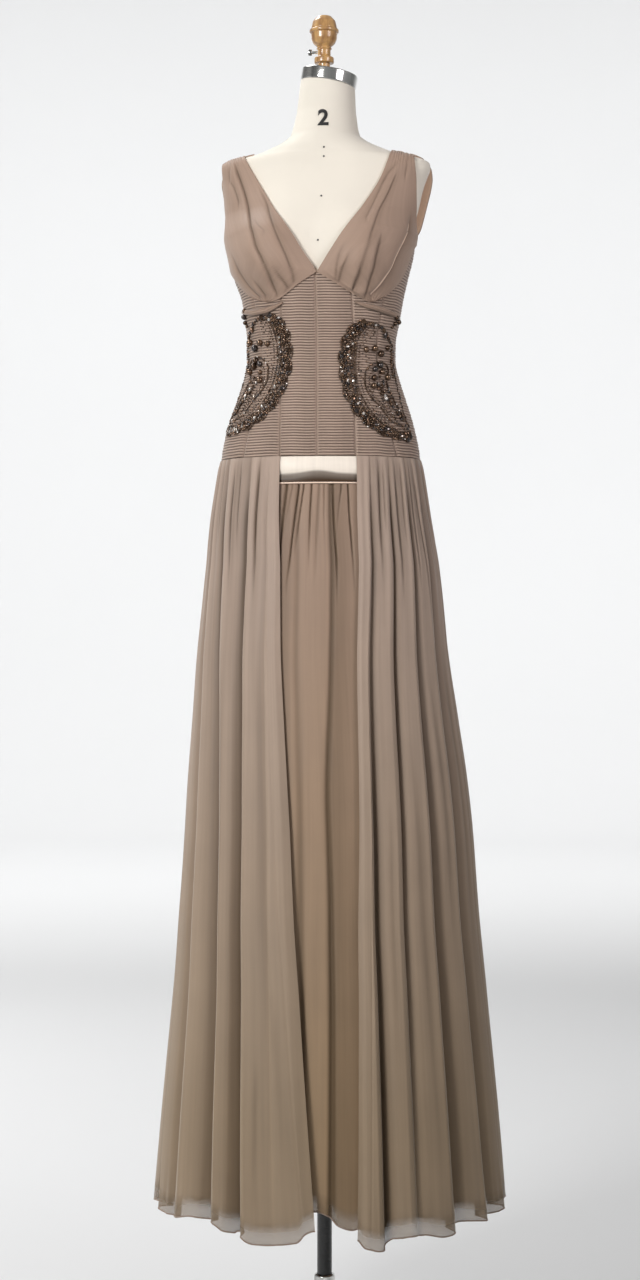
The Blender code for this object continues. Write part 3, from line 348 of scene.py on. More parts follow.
def rounded(profile: Sequence[tuple[float, float]], radius: float, steps: int = 5) -> Array:
    """Round a profile's corners with quadratic curves, cut back at most 45 % of an edge."""
    points = np.array(profile, float)
    made = [points[:1]]
    share = even(steps)[:, None]
    for before, corner, after in zip(points[:-2], points[1:-1], points[2:]):
        in_edge, out_edge = before - corner, after - corner
        cut = min(radius, 0.45 * np.linalg.norm(in_edge), 0.45 * np.linalg.norm(out_edge))
        start = corner + in_edge / np.linalg.norm(in_edge) * cut
        end = corner + out_edge / np.linalg.norm(out_edge) * cut
        made.append(start * (1 - share)**2 + corner * 2 * share * (1 - share) + end * share**2)
    made.append(points[-1:])
    return np.concatenate(made)


def spun(profile: Array, steps: int) -> Array:
    """Carry (radius, height) points round the Z axis, one ring of points for each."""
    angle = 2 * np.pi * np.arange(steps) / steps
    return np.stack([profile[:, :1] * np.cos(angle), profile[:, :1] * np.sin(angle),
                     np.broadcast_to(profile[:, 1:], (len(profile), steps))], axis=-1)


def capped(rings: Array, ends: Sequence) -> tuple[Array, list[Sequence[int]]]:
    """Return the points and faces of stacked rings, with fans to a low and a high end point."""
    rows, steps = rings.shape[:2]
    low, high = rows * steps, rows * steps + 1
    ring = np.append(np.arange(steps), 0)
    top = (rows - 1) * steps + ring
    fans = [(low, b, a) for a, b in zip(ring[:-1], ring[1:])]
    fans += [(high, a, b) for a, b in zip(top[:-1], top[1:])]
    return np.concatenate([rings.reshape(-1, 3), ends]), [*quads(rows, steps, True)[0], *fans]


def turned(name: str, profile: Array, centre: Sequence[float], steps: int,
           lean: float = 0.0, axis: str = "Z") -> Mesh:
    """Return a turned solid: a profile of (radius, height), top to bottom, carried round.

    Args:
        name: The mesh's name.
        profile: Radii and heights; it starts and ends on the axis.
        centre: Where the profile's own origin goes.
        steps: Points in each ring.
        lean: Turn about Y in radians, towards +X.
        axis: "Z" for an upright piece, "X" for one that lies along X.

    Returns:
        A closed mesh with one point at each end of the axis.
    """
    profile = np.asarray(profile, float)[::-1]
    ends = np.array([[0, 0, profile[0, 1]], [0, 0, profile[-1, 1]]])
    points, faces = capped(spun(profile[1:-1], steps), ends)
    if axis == "X":
        points = points[:, [2, 0, 1]]
    turn = np.array([[math.cos(lean), 0, math.sin(lean)], [0, 1, 0],
                     [-math.sin(lean), 0, math.cos(lean)]])
    return new_mesh(name, points @ turn.T + np.asarray(centre, float), faces, sharp=42.0)


def tube(name: str, path: Array, across: Array, radius: float, sides: int,
         closed: bool = False) -> Mesh:
    """Return a tube: a circle carried along a path, with across and the path's own normal.

    Args:
        name: The mesh's name.
        path: Points of the middle line.
        across: Unit vectors that point out of what the tube lies on.
        radius: The circle's radius.
        sides: Points in each ring.
        closed: True if the path runs back to its start.

    Returns:
        A closed mesh; an open path's ends are shut by fans.
    """
    if closed:
        along = np.roll(path, -1, axis=0) - np.roll(path, 1, axis=0)
    else:
        along = np.gradient(path, axis=0)
    along = direction(along)
    beside = direction(np.cross(along, across))
    over = np.cross(beside, along)
    angle = 2 * np.pi * np.arange(sides) / sides
    rings = path[:, None, :] + radius * (np.cos(angle)[None, :, None] * beside[:, None, :]
                                         + np.sin(angle)[None, :, None] * over[:, None, :])
    count = len(path)
    index = np.arange(count * sides).reshape(count, sides)
    if closed:
        index = np.concatenate([index, index[:1]])
    near, far = index[:-1], index[1:]
    faces = np.stack([near, far, np.roll(far, -1, axis=1), np.roll(near, -1, axis=1)], -1)
    faces = list(faces.reshape(-1, 4))
    if not closed:
        faces += [list(index[0]), list(index[-1][::-1])]
    return new_mesh(name, rings.reshape(-1, 3), faces)


def put(name: str, data: bpy.types.ID) -> Object:
    """Add an object at the origin of the scene."""
    thing = bpy.data.objects.new(name, data)
    bpy.context.scene.collection.objects.link(thing)
    return thing


def show(name: str, mesh: Mesh, materials: Sequence[Material],
         nodes: Sequence[str] = ()) -> Object:
    """Put a mesh in the scene as a piece of the object.

    Args:
        name: The piece's name.
        mesh: Its mesh, in place.
        materials: Its materials, in the order of the mesh's material numbers.
        nodes: The solids that it stands for.

    Returns:
        The new object.
    """
    mesh.name = name
    for material in materials:
        mesh.materials.append(material)
    thing = put(name, mesh)
    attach(thing, "root")
    if nodes:
        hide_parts(*nodes)
    area = sum(polygon.area for polygon in mesh.polygons) / 2
    LOG.info("%s: %d faces, %.4f square metres a side", name, len(mesh.polygons), area)
    return thing


def hang(name: str, wall: Wall, node: str, outside: Material, inside: Material | None = None) -> Object:
    """Show a wall of cloth, with a finish for each side, for the solid that it stands for."""
    return show(name, wall.mesh(name), [outside, inside or outside], [node])


# ---- finishes
class Shader:
    """Short hand for adding and linking shader nodes in one tree."""

    def __init__(self, tree: NodeTree) -> None:
        """Keep the tree."""
        self.tree = tree

    def feed(self, node: Node, inputs: dict) -> Node:
        """Set a node's inputs to numbers or colours, or link them from sockets."""
        for key, value in inputs.items():
            if isinstance(value, NodeSocket):
                self.tree.links.new(value, node.inputs[key])
            else:
                node.inputs[key].default_value = value
        return node

    def add(self, kind: str, inputs: dict | None = None, **settings) -> Node:
        """Add a node, set it up and feed it."""
        node = self.tree.nodes.new("ShaderNode" + kind)
        for key, value in settings.items():
            setattr(node, key, value)
        return self.feed(node, inputs or {})

    def math(self, operation: str, *values) -> NodeSocket:
        """Add a Math node and return its value."""
        return self.add("Math", dict(enumerate(values)), operation=operation).outputs[0]

    def mix(self, share, one, other, blend: str = "MIX") -> NodeSocket:
        """Mix two colours and return the result."""
        return self.add("Mix", {0: share, 6: one, 7: other}, data_type="RGBA",
                        blend_type=blend).outputs[2]

    def stretch(self, vector, scale: Sequence[float]) -> NodeSocket:
        """Scale a place along each axis."""
        return self.add("Mapping", {"Vector": vector, "Scale": scale}).outputs[0]

    def noise(self, vector, detail: float) -> NodeSocket:
        """Add a noise texture and return its value of 0 to 1."""
        return self.add("TexNoise", {"Vector": vector, "Scale": 1.0, "Detail": detail,
                                     "Roughness": 0.55}).outputs[0]

    def spread(self, value, low: float, high: float, start: float = 0.3,
               end: float = 0.7) -> NodeSocket:
        """Stretch a value between start and end over low to high."""
        return self.add("MapRange", {"Value": value, "From Min": start, "From Max": end,
                                     "To Min": low, "To Max": high}).outputs[0]

    def bump(self, height, strength: float, distance: float) -> NodeSocket:
        """Turn a height into a normal."""
        return self.add("Bump", {"Strength": strength, "Distance": distance,
                                 "Height": height}).outputs[0]

    def mottle(self, vector, colour, scale: float, amount: float) -> Sequence[NodeSocket]:
        """Make a colour uneven, and return it with the noise that did it."""
        return self.add("Group", {"Vector": vector, "Color": colour, "Scale": scale,
                                  "Amount": amount}, node_tree=mottle_group()).outputs


def rgba(colour: Sequence[float]) -> tuple[float, ...]:
    """Return a colour with full alpha."""
    return (*colour, 1.0)


def start_group(name: str, inputs: dict[str, str], outputs: dict[str, str]
                ) -> tuple[Shader, Sequence[NodeSocket], Node] | None:
    """Start a node group and return a shader, its inputs and its output node, or None if made."""
    if name in bpy.data.node_groups:
        return None
    tree = bpy.data.node_groups.new(name, "ShaderNodeTree")
    for way, sockets in (("INPUT", inputs), ("OUTPUT", outputs)):
        for socket, kind in sockets.items():
            tree.interface.new_socket(socket, in_out=way, socket_type="NodeSocket" + kind)
    given = tree.nodes.new("NodeGroupInput").outputs[:len(inputs)]
    return Shader(tree), given, tree.nodes.new("NodeGroupOutput")


def weave_group() -> NodeTree:
    """Plain weave: the product of two sines across and along, as a height of 0 to 1."""
    made = start_group("plain_weave", {"Vector": "Vector", "Threads": "Float"},
                       {"Height": "Float"})
    if made:
        shader, (vector, threads), result = made
        apart = shader.add("SeparateXYZ", {0: vector})
        waves = []
        for axis in (0, 1):
            turns = shader.math("MULTIPLY", apart.outputs[axis], threads)
            waves.append(shader.math("SINE", shader.math("MULTIPLY", turns, 2 * math.pi)))
        product = shader.math("MULTIPLY", *waves)
        shader.feed(result, {"Height": shader.math("MULTIPLY_ADD", product, 0.5, 0.5)})
    return bpy.data.node_groups["plain_weave"]


def mottle_group() -> NodeTree:
    """Uneven colour: a broad noise darkens or lightens a colour."""
    made = start_group("mottle", {"Vector": "Vector", "Color": "Color", "Scale": "Float",
                                  "Amount": "Float"}, {"Color": "Color", "Mask": "Float"})
    if made:
        shader, (vector, colour, scale, amount), result = made
        broad = shader.add("TexNoise", {"Vector": vector, "Scale": scale, "Detail": 4.0}).outputs[0]
        level = shader.math("MULTIPLY", shader.spread(broad, -1.0, 1.0), amount)
        tinted = shader.add("HueSaturation", {"Color": colour,
                                              "Value": shader.math("ADD", level, 1.0)})
        shader.feed(result, {"Color": tinted.outputs["Color"], "Mask": broad})
    return bpy.data.node_groups["mottle"]


@dataclass(frozen=True)
class Finish:
    """A finish, which says what feeds the sockets of the Principled BSDF."""

    name: str

    def looks(self, shader: Shader, place: NodeSocket) -> dict:
        """Return the sockets' numbers, colours and links.

        Args:
            shader: Adds nodes to the material.
            place: The piece's own coordinates in metres.

        Returns:
            A value or an output for each named socket.
        """
        raise NotImplementedError

    def material(self) -> Material:
        """Build the finish."""
        material = bpy.data.materials.new(self.name)
        material.use_nodes = True
        shader = Shader(material.node_tree)
        place = shader.add("TexCoord").outputs["Object"]
        shader.feed(material.node_tree.nodes["Principled BSDF"], self.looks(shader, place))
        return material


@dataclass(frozen=True)
class ClothFinish(Finish):
    """Woven cloth: painted shade in the folds, streaks along the length and a fine weave.

    The mark "fold" on the mesh is 0 on the crests and 1 in the valleys; it mixes in the deep colour
    as painted shade in the folds. "sheer" is how far the cloth lets what lies behind it show. A glow
    is painted light that stands for light coming through the cloth, and the foot is a tint that grows
    from the hips down: partly where fewer layers lie under the cloth, and partly painted light and
    shade for the way the light falls on the lower skirt.
    """

    colour: Sequence[float]
    deep: Sequence[float]
    roughness: float = 0.62
    sheen: float = 0.25
    streak_and_reflection: float = 0.06
    threads: float = 2600.0
    specular: float = 0.35
    anisotropic: float = 0.0
    bump: float = 0.12
    sheer: float = 0.0
    glow: float = 0.0
    foot: Sequence[float] = (1.0, 1.0, 1.0)

    def looks(self, shader: Shader, place: NodeSocket) -> dict:
        """Return what feeds the shader."""
        cloth = shader.add("UVMap", uv_map="cloth").outputs["UV"]
        fold = shader.add("Attribute", attribute_name="fold").outputs["Fac"]
        # painted shade: the fold mark mixes the deep colour into the valleys and creases
        base = shader.mix(fold, rgba(self.colour), rgba(self.deep))
        height = shader.add("SeparateXYZ", {0: place}).outputs["Z"]
        # the foot tint from the hips down: partly fewer layers under the cloth, partly painted light and
        # shade on the lower skirt
        low = shader.spread(height, 0.0, 1.0, 1.25, 0.4)
        base = shader.mix(low, base, rgba(self.foot), "MULTIPLY")
        colour, mask = shader.mottle(cloth, base, 9.0, 0.05)
        stretched = shader.stretch(cloth, (95.0, 2.2, 1.0))
        creases = shader.math("MULTIPLY", shader.noise(stretched, 4.0), 5.0)
        colour, _ = shader.mottle(stretched, colour, 1.7, self.streak_and_reflection)
        weave = shader.add("Group", {"Vector": cloth, "Threads": self.threads},
                           node_tree=weave_group())
        relief = shader.math("ADD", weave.outputs["Height"], creases)
        looks = {"Base Color": colour,
                 "Normal": shader.bump(relief, self.bump, 0.0004),
                 "Roughness": shader.spread(mask, self.roughness - 0.05, self.roughness + 0.05),
                 "Sheen Weight": self.sheen, "Sheen Roughness": 0.4,
                 "Specular IOR Level": self.specular, "Anisotropic": self.anisotropic}
        # painted light: the glow lights the cloth with its own colour, for light coming through it from
        # behind
        if self.glow > 0:
            looks |= {"Emission Color": colour, "Emission Strength": self.glow}
        if self.sheer > 0:
            sheer = shader.add("Attribute", attribute_name="sheer").outputs["Fac"]
            clear = shader.math("MULTIPLY", sheer, self.sheer)
            looks["Alpha"] = shader.math("SUBTRACT", 1.0, clear)
        return looks


@dataclass(frozen=True)
class JerseyFinish(Finish):
    """Smooth stretched knit over padding: faint mottling and fine knitted ribs."""

    colour: Sequence[float]

    def looks(self, shader: Shader, place: NodeSocket) -> dict:
        """Return what feeds the shader."""
        colour, _ = shader.mottle(place, rgba(self.colour), 14.0, 0.025)
        ribs = shader.noise(shader.stretch(place, (900.0, 900.0, 620.0)), 1.0)
        return {"Base Color": colour, "Roughness": 0.75, "Sheen Weight": 0.2,
                "Normal": shader.bump(ribs, 0.08, 0.0003), "Specular IOR Level": 0.3}


@dataclass(frozen=True)
class WoodFinish(Finish):
    """Varnished turned wood: rings stretched along the grain and fine pores."""

    light: Sequence[float]
    dark: Sequence[float]

    def looks(self, shader: Shader, place: NodeSocket) -> dict:
        """Return what feeds the shader."""
        bands = shader.noise(shader.stretch(place, (130.0, 130.0, 26.0)), 5.0)
        share = shader.spread(bands, 0.0, 1.0)
        return {"Base Color": shader.mix(share, rgba(self.light), rgba(self.dark)),
                "Roughness": shader.spread(bands, 0.26, 0.38),
                "Normal": shader.bump(bands, 0.15, 0.0004),
                "Coat Weight": 0.5, "Coat Roughness": 0.12}


@dataclass(frozen=True)
class MetalFinish(Finish):
    """Metal or enamel: fine scratches, smudges and upright streaks, which on the chrome are painted
    reflections of the room.
    """

    colour: Sequence[float]
    metallic: float
    roughness: float
    coat: float = 0.0
    streak_and_reflection: float = 0.02

    def looks(self, shader: Shader, place: NodeSocket) -> dict:
        """Return what feeds the shader."""
        colour, _ = shader.mottle(place, rgba(self.colour), 22.0, 0.04)
        # painted reflections: on the chrome, broad upright streaks stand for the room that it reflects
        upright = shader.stretch(place, (48.0, 48.0, 1.0))
        colour, _ = shader.mottle(upright, colour, 1.0, self.streak_and_reflection)
        lines = shader.noise(shader.stretch(place, (60.0, 60.0, 1600.0)), 2.0)
        return {"Base Color": colour,
                "Roughness": shader.spread(lines, self.roughness * 0.8, self.roughness * 1.3),
                "Normal": shader.bump(lines, 0.05, 0.0002),
                "Metallic": self.metallic, "Coat Weight": self.coat}


@dataclass(frozen=True)
class BeadFinish(Finish):
    """Glass and metal beads, each with its own tint from the mesh's colour attribute."""

    def looks(self, shader: Shader, place: NodeSocket) -> dict:
        """Return what feeds the shader."""
        tint = shader.add("Attribute", attribute_name="tint").outputs["Color"]
        colour, mask = shader.mottle(place, tint, 420.0, 0.25)
        return {"Base Color": colour, "Metallic": 0.85, "Coat Weight": 0.35,
                "Roughness": shader.spread(mask, 0.08, 0.26),
                "Coat Roughness": 0.05}


@dataclass(frozen=True)
class PaperFinish(Finish):
    """Plain studio surface."""

    colour: Sequence[float]

    def looks(self, shader: Shader, place: NodeSocket) -> dict:
        """Return what feeds the shader."""
        colour, _ = shader.mottle(place, rgba(self.colour), 0.4, 0.01)
        return {"Base Color": colour, "Roughness": 0.9, "Specular IOR Level": 0.1}


class Finishes:
    """Every finish of the object, built once."""

    def __init__(self) -> None:
        """Build the materials."""
        # The second colour of each cloth is the painted shade of its folds, mixed in by the fold mark.
        taupe, deep = (0.365, 0.276, 0.22), (0.1, 0.066, 0.042)
        self.midriff = ClothFinish("tucked_chiffon", (0.455, 0.338, 0.266),
                                   (0.125, 0.084, 0.064), streak_and_reflection=0.03).material()
        self.cups = ClothFinish("gathered_chiffon", (0.357, 0.25, 0.189), deep, roughness=0.6,
                                specular=0.24).material()
        # foot tints: the overskirt darker and the underskirt paler towards the hem, partly painted light
        # and shade
        self.skirt = ClothFinish("skirt_chiffon", taupe, deep, sheer=0.52,
                                 foot=(0.91, 0.88, 0.72)).material()
        self.under = ClothFinish("underskirt_chiffon", (0.306, 0.211, 0.152),
                                 (0.105, 0.066, 0.038), sheer=0.35,
                                 foot=(1.14, 1.12, 0.9)).material()
        self.lining = ClothFinish("plain_lining", (0.36, 0.24, 0.16), (0.22, 0.14, 0.09),
                                  roughness=0.5, streak_and_reflection=0.03).material()
        # painted light: the facing is paler than the cloth and glows, standing for light that shines
        # through the thin cloth from behind
        self.facing = ClothFinish("painted_backlight_facing", (0.76, 0.58, 0.46), (0.52, 0.36, 0.27),
                                  roughness=0.5, glow=0.16).material()
        # the satin's deep colour is its painted dark reflection and shadow under the roll; its pale
        # colour is partly the painted highlight of the lit top
        self.satin = ClothFinish("champagne_satin_weave", (0.9, 0.815, 0.71), (0.055, 0.032, 0.018),
                                 roughness=0.4, sheen=0.1, specular=0.12, streak_and_reflection=0.04,
                                 anisotropic=0.4, bump=0.05).material()
        self.jersey = JerseyFinish("cream_jersey_cover", (0.74, 0.69, 0.6)).material()
        self.wood = WoodFinish("varnished_wood", (0.65, 0.39, 0.15), (0.26, 0.12, 0.04)).material()
        # the chrome's strong streaks are painted reflections of the room
        self.chrome = MetalFinish("polished_chrome", (0.62, 0.62, 0.6), 1.0, 0.12,
                                  streak_and_reflection=0.55).material()
        self.enamel = MetalFinish("black_enamel", (0.012, 0.012, 0.012), 0.0, 0.3,
                                  coat=0.4).material()
        self.ink = MetalFinish("printed_ink", (0.012, 0.012, 0.012), 0.0, 0.55).material()
        self.beads = BeadFinish("bead_glass").material()
        self.paper = PaperFinish("studio_paper", (0.8, 0.805, 0.81)).material()


# ---- dress form
@dataclass
class DressForm:
    """The padded body with its neck cap, finial, size number and pins."""

    finishes: Finishes
    columns: int = 96
    spans: tuple[tuple[float, float, int], ...] = ((1.2005, 1.84, 66), (1.8425, 1.935, 38))
    inset: float = 0.0006
    foot_edge: float = 0.006
    seam_cut: float = 0.0007
    side_seam_cut: float = 0.0005
    neck_centre: tuple[float, float, float] = (0.0055, -0.001, 1.9795)
    neck_lean: float = math.radians(10.0)
    neck_radius: float = 0.0425
    cap_radius: float = 0.0435
    cap_height: float = 0.019
    cap_edge: tuple[float, float] = (0.0008, 0.0016)
    gap: float = 0.0003
    neck_seam: float = 1.8985
    finial_foot: tuple[float, float, float] = (-0.0005, 0.0, 2.0135)
    finial_stem: float = 0.01
    screw_height: float = 2.031
    pins: tuple[tuple[float, float], ...] = (
        (0.0054, 1.8711), (0.0054, 1.8566), (0.0034, 1.793), (0.0004, 1.7223))
    number_centre: tuple[float, float] = (0.0033, 1.9186)
    number_size: tuple[float, float] = (0.0165, 0.026)
    number_proud: float = 0.0008
    number_sunk: float = 0.0006
    drawn_in: dict[str, Array] = field(default_factory=lambda: mm_table(
        "height cut",
        (1700, 0), (1740, 3), (1770, 5.5), (1800, 6), (1820, 3.5), (1838, 0)))

    def torso(self) -> None:
        """Build the body: offset ovals, then rings that blend into the leaning neck top."""
        heights = np.concatenate([np.linspace(*span) for span in self.spans])
        turns = 2 * np.pi * np.arange(self.columns) / self.columns
        edge = self.foot_edge * (1 - smooth(heights[0], 1.2105, heights))[:, None]
        seam = self.seam_cut * bump(heights, self.neck_seam, 0.0012)[:, None]
        side_seam = self.side_seam_cut * bump(np.abs(np.sin(turns / 2)), 0.0, 0.006)[None, :]
        rings = FORM.out(turns[None, :], heights[:, None], -self.inset - edge - seam - side_seam)
        rings[..., 2] = heights[:, None]
        cut = on_curve(self.drawn_in["height"], self.drawn_in["cut"], heights)
        middle = FORM.size("shift", heights)[:, None]
        narrower = 1 - (cut / FORM.size("half_width", heights))[:, None]
        rings[..., 0] = middle + (rings[..., 0] - middle) * narrower
        x, y = self.neck_radius * np.sin(turns), -self.neck_radius * np.cos(turns)
        centre = self.neck_centre
        top = np.stack([centre[0] + x * math.cos(self.neck_lean), centre[1] + y,
                        centre[2] - x * math.sin(self.neck_lean)], axis=-1)
        share = even(14)[1:, None, None]
        rings = np.concatenate([rings, blend(rings[-1], top, share)])
        mesh = new_mesh("torso", *capped(rings, [rings[0].mean(axis=0), rings[-1].mean(axis=0)]))
        show("dress_form_body", mesh, [self.finishes.jersey], ["form_torso"])

    def metal(self) -> None:
        """Build the leaning cap and the screw of the finial."""
        height, radius, (wide, tall) = self.cap_height, self.cap_radius, self.cap_edge
        profile = rounded([(0, height), (radius - wide, height), (radius, height - tall),
                           (radius, tall), (radius - wide, 0), (0, 0)], 0.0012)
        centre = np.array(self.neck_centre) + self.gap * np.array(
            [math.sin(self.neck_lean), 0, math.cos(self.neck_lean)])
        cap = turned("cap", profile, centre, 96, self.neck_lean)
        show("neck_cap_metal", cap, [self.finishes.chrome], ["neck_cap"])
        start = self.finial_foot[0] - self.finial_stem - self.gap
        head = rounded([(0, 0.006), (0.0046, 0.006), (0.005, 0.003), (0.0046, 0), (0, 0)], 0.0006)
        screw = turned("screw", head, (start - 0.0145, 0, self.screw_height), 40, axis="X")
        show("thumbscrew_head", screw, [self.finishes.chrome], ["thumbscrew"])
        shank = rounded([(0, 0.0082), (0.0022, 0.0082), (0.0022, 0), (0, 0)], 0.0003)
        pin = turned("shank", shank, (start - 0.0083, 0, self.screw_height), 24, axis="X")
        show("thumbscrew_pin", pin, [self.finishes.chrome], ["thumbscrew_shank"])

    def finial(self) -> None:
        """Build the turned wooden finial: a knob, a cup, a stem and a foot."""
        profile = rounded(np.array([
            (0, 74.8), (10.7, 72.8), (17.5, 65.5), (20.1, 54.3), (19.8, 53.2), (22.7, 52.0),
            (22.7, 47.8), (20.0, 46.6), (20.2, 46.0), (19.6, 37.2), (17.0, 31.0), (10.0, 24.8),
            (11.8, 23.6), (11.8, 22.2), (10.0, 21.0), (10.0, 11.0), (15.2, 8.5), (15.2, 0),
            (9.0, 0), (9.0, -11.4), (0, -11.4)]) / 1000, 0.0016, 6)
        mesh = turned("finial", profile, self.finial_foot, 48)
        show("finial_wood", mesh, [self.finishes.wood], ["finial"])

    def number(self) -> None:
        """Print the plain size number on the front of the neck, bent onto its surface."""
        curve = bpy.data.curves.new("size_number", "FONT")
        curve.body = "2"
        curve.size = 0.035
        curve.offset = 0.0008
        curve.align_x, curve.align_y = "CENTER", "CENTER"
        text = put("size_number_text", curve)
        bpy.context.view_layer.update()
        flat = text.evaluated_get(bpy.context.evaluated_depsgraph_get()).to_mesh()
        points = np.zeros(len(flat.vertices) * 3, np.float32)
        flat.vertices.foreach_get("co", points)
        points = points.reshape(-1, 3).astype(float)
        faces = [tuple(p.vertices) for p in flat.polygons]
        bpy.data.objects.remove(text)
        points -= (points.max(axis=0) + points.min(axis=0)) / 2
        points[:, :2] *= np.array(self.number_size) / (2 * points[:, :2].max(axis=0))
        x, z = points[:, 0] + self.number_centre[0], points[:, 1] + self.number_centre[1]
        top = FORM.rows["height"][-1]
        placed = FORM.point(FORM.front_turn(x, np.minimum(z, top)), np.minimum(z, top))
        backwards = 0.1 * np.clip(z - top, 0.0, None)
        placed = np.stack([x, placed[:, 1] + backwards, z], axis=-1)
        front, back = placed - [0, self.number_proud, 0], placed + [0, self.number_sunk, 0]
        count = len(front)
        edges: dict[tuple[int, int], int] = {}
        for face in faces:
            for a, b in zip(face, face[1:] + face[:1]):
                edges[(a, b)] = edges.get((a, b), 0) + 1
        rim = [(a, b) for a, b in edges if (b, a) not in edges]
        every = list(faces) + [tuple(i + count for i in face[::-1]) for face in faces]
        every += [(b, a, a + count, b + count) for a, b in rim]
        mesh = new_mesh("number", np.concatenate([front, back]), every, sharp=30)
        show("size_number", mesh, [self.finishes.ink])

    def marks(self) -> None:
        """Build the pins down the middle of the chest: small domed heads on the cover."""
        head = rounded([(0, 0.0011), (0.0013, 0.0008), (0.0016, 0.0), (0, -0.0006)], 0.0004, 4)
        for number, (x, z) in enumerate(self.pins):
            turn = FORM.front_turn(np.array([x]), np.array([z]))
            place = FORM.out(turn, np.array([z]), -0.0004)[0]
            mesh = turned("pin", head, (0, 0, 0), 16)
            points = np.zeros(len(mesh.vertices) * 3)
            mesh.vertices.foreach_get("co", points)
            points = points.reshape(-1, 3)[:, [0, 2, 1]] * [1, -1, 1] + place
            mesh.vertices.foreach_set("co", points.astype(np.float32).ravel())
            mesh.update()
            show(f"chest_pin_{number}", mesh, [self.finishes.enamel])

    def build(self) -> None:
        """Build every part of the form."""
        self.torso()
        self.metal()
        self.finial()
        self.number()
        self.marks()


@dataclass
class Stand:
    """The pole, its fittings and the round base: turned profiles in millimetres.

    Each piece has its name, its solid, the height of the profile's origin, the rounding of its
    corners and its points of (radius, height).
    """

    finishes: Finishes
    pieces: tuple[tuple, ...] = (
        ("stand_pole", "pole", 133.0, 1.0, ((0, 1060.7), (11.5, 1060.7), (11.5, 0), (0, 0))),
        ("flange_plate", "pole_flange", 1199.7, 1.0,
         ((0, -0.2), (38, -0.2), (38, -4), (18, -9), (17, -26), (12.2, -26), (12.2, -5.8),
          (0, -5.8))),
        ("collar_ring", "height_collar", 139.0, 0.6,
         ((0, -7), (11.9, -7), (11.9, 0), (15, -1), (16, -3), (16, -9.5), (15.2, -10.5),
          (16, -11.5), (16, -26), (14.5, -28), (0, -28))),
        ("stand_sleeve", "pole_sleeve", 33.3, 1.0, ((0, 77.4), (14.5, 77.4), (14.5, 0), (0, 0))),
        ("round_base", "stand_base", 0.0, 3.0,
         ((0, 33), (25, 33), (30, 24), (60, 19), (195, 10), (200, 6), (200, 0), (0, 0))))

    def build(self) -> None:
        """Build every part of the stand."""
        for name, node, foot, soft, profile in self.pieces:
            mesh = turned(name, rounded(np.array(profile) / 1000, soft / 1000),
                          (0, 0, foot / 1000), 72)
            if node == "height_collar":
                show(name, mesh, [self.finishes.chrome], [node])
            else:
                show(name, mesh, [self.finishes.enamel], [node])


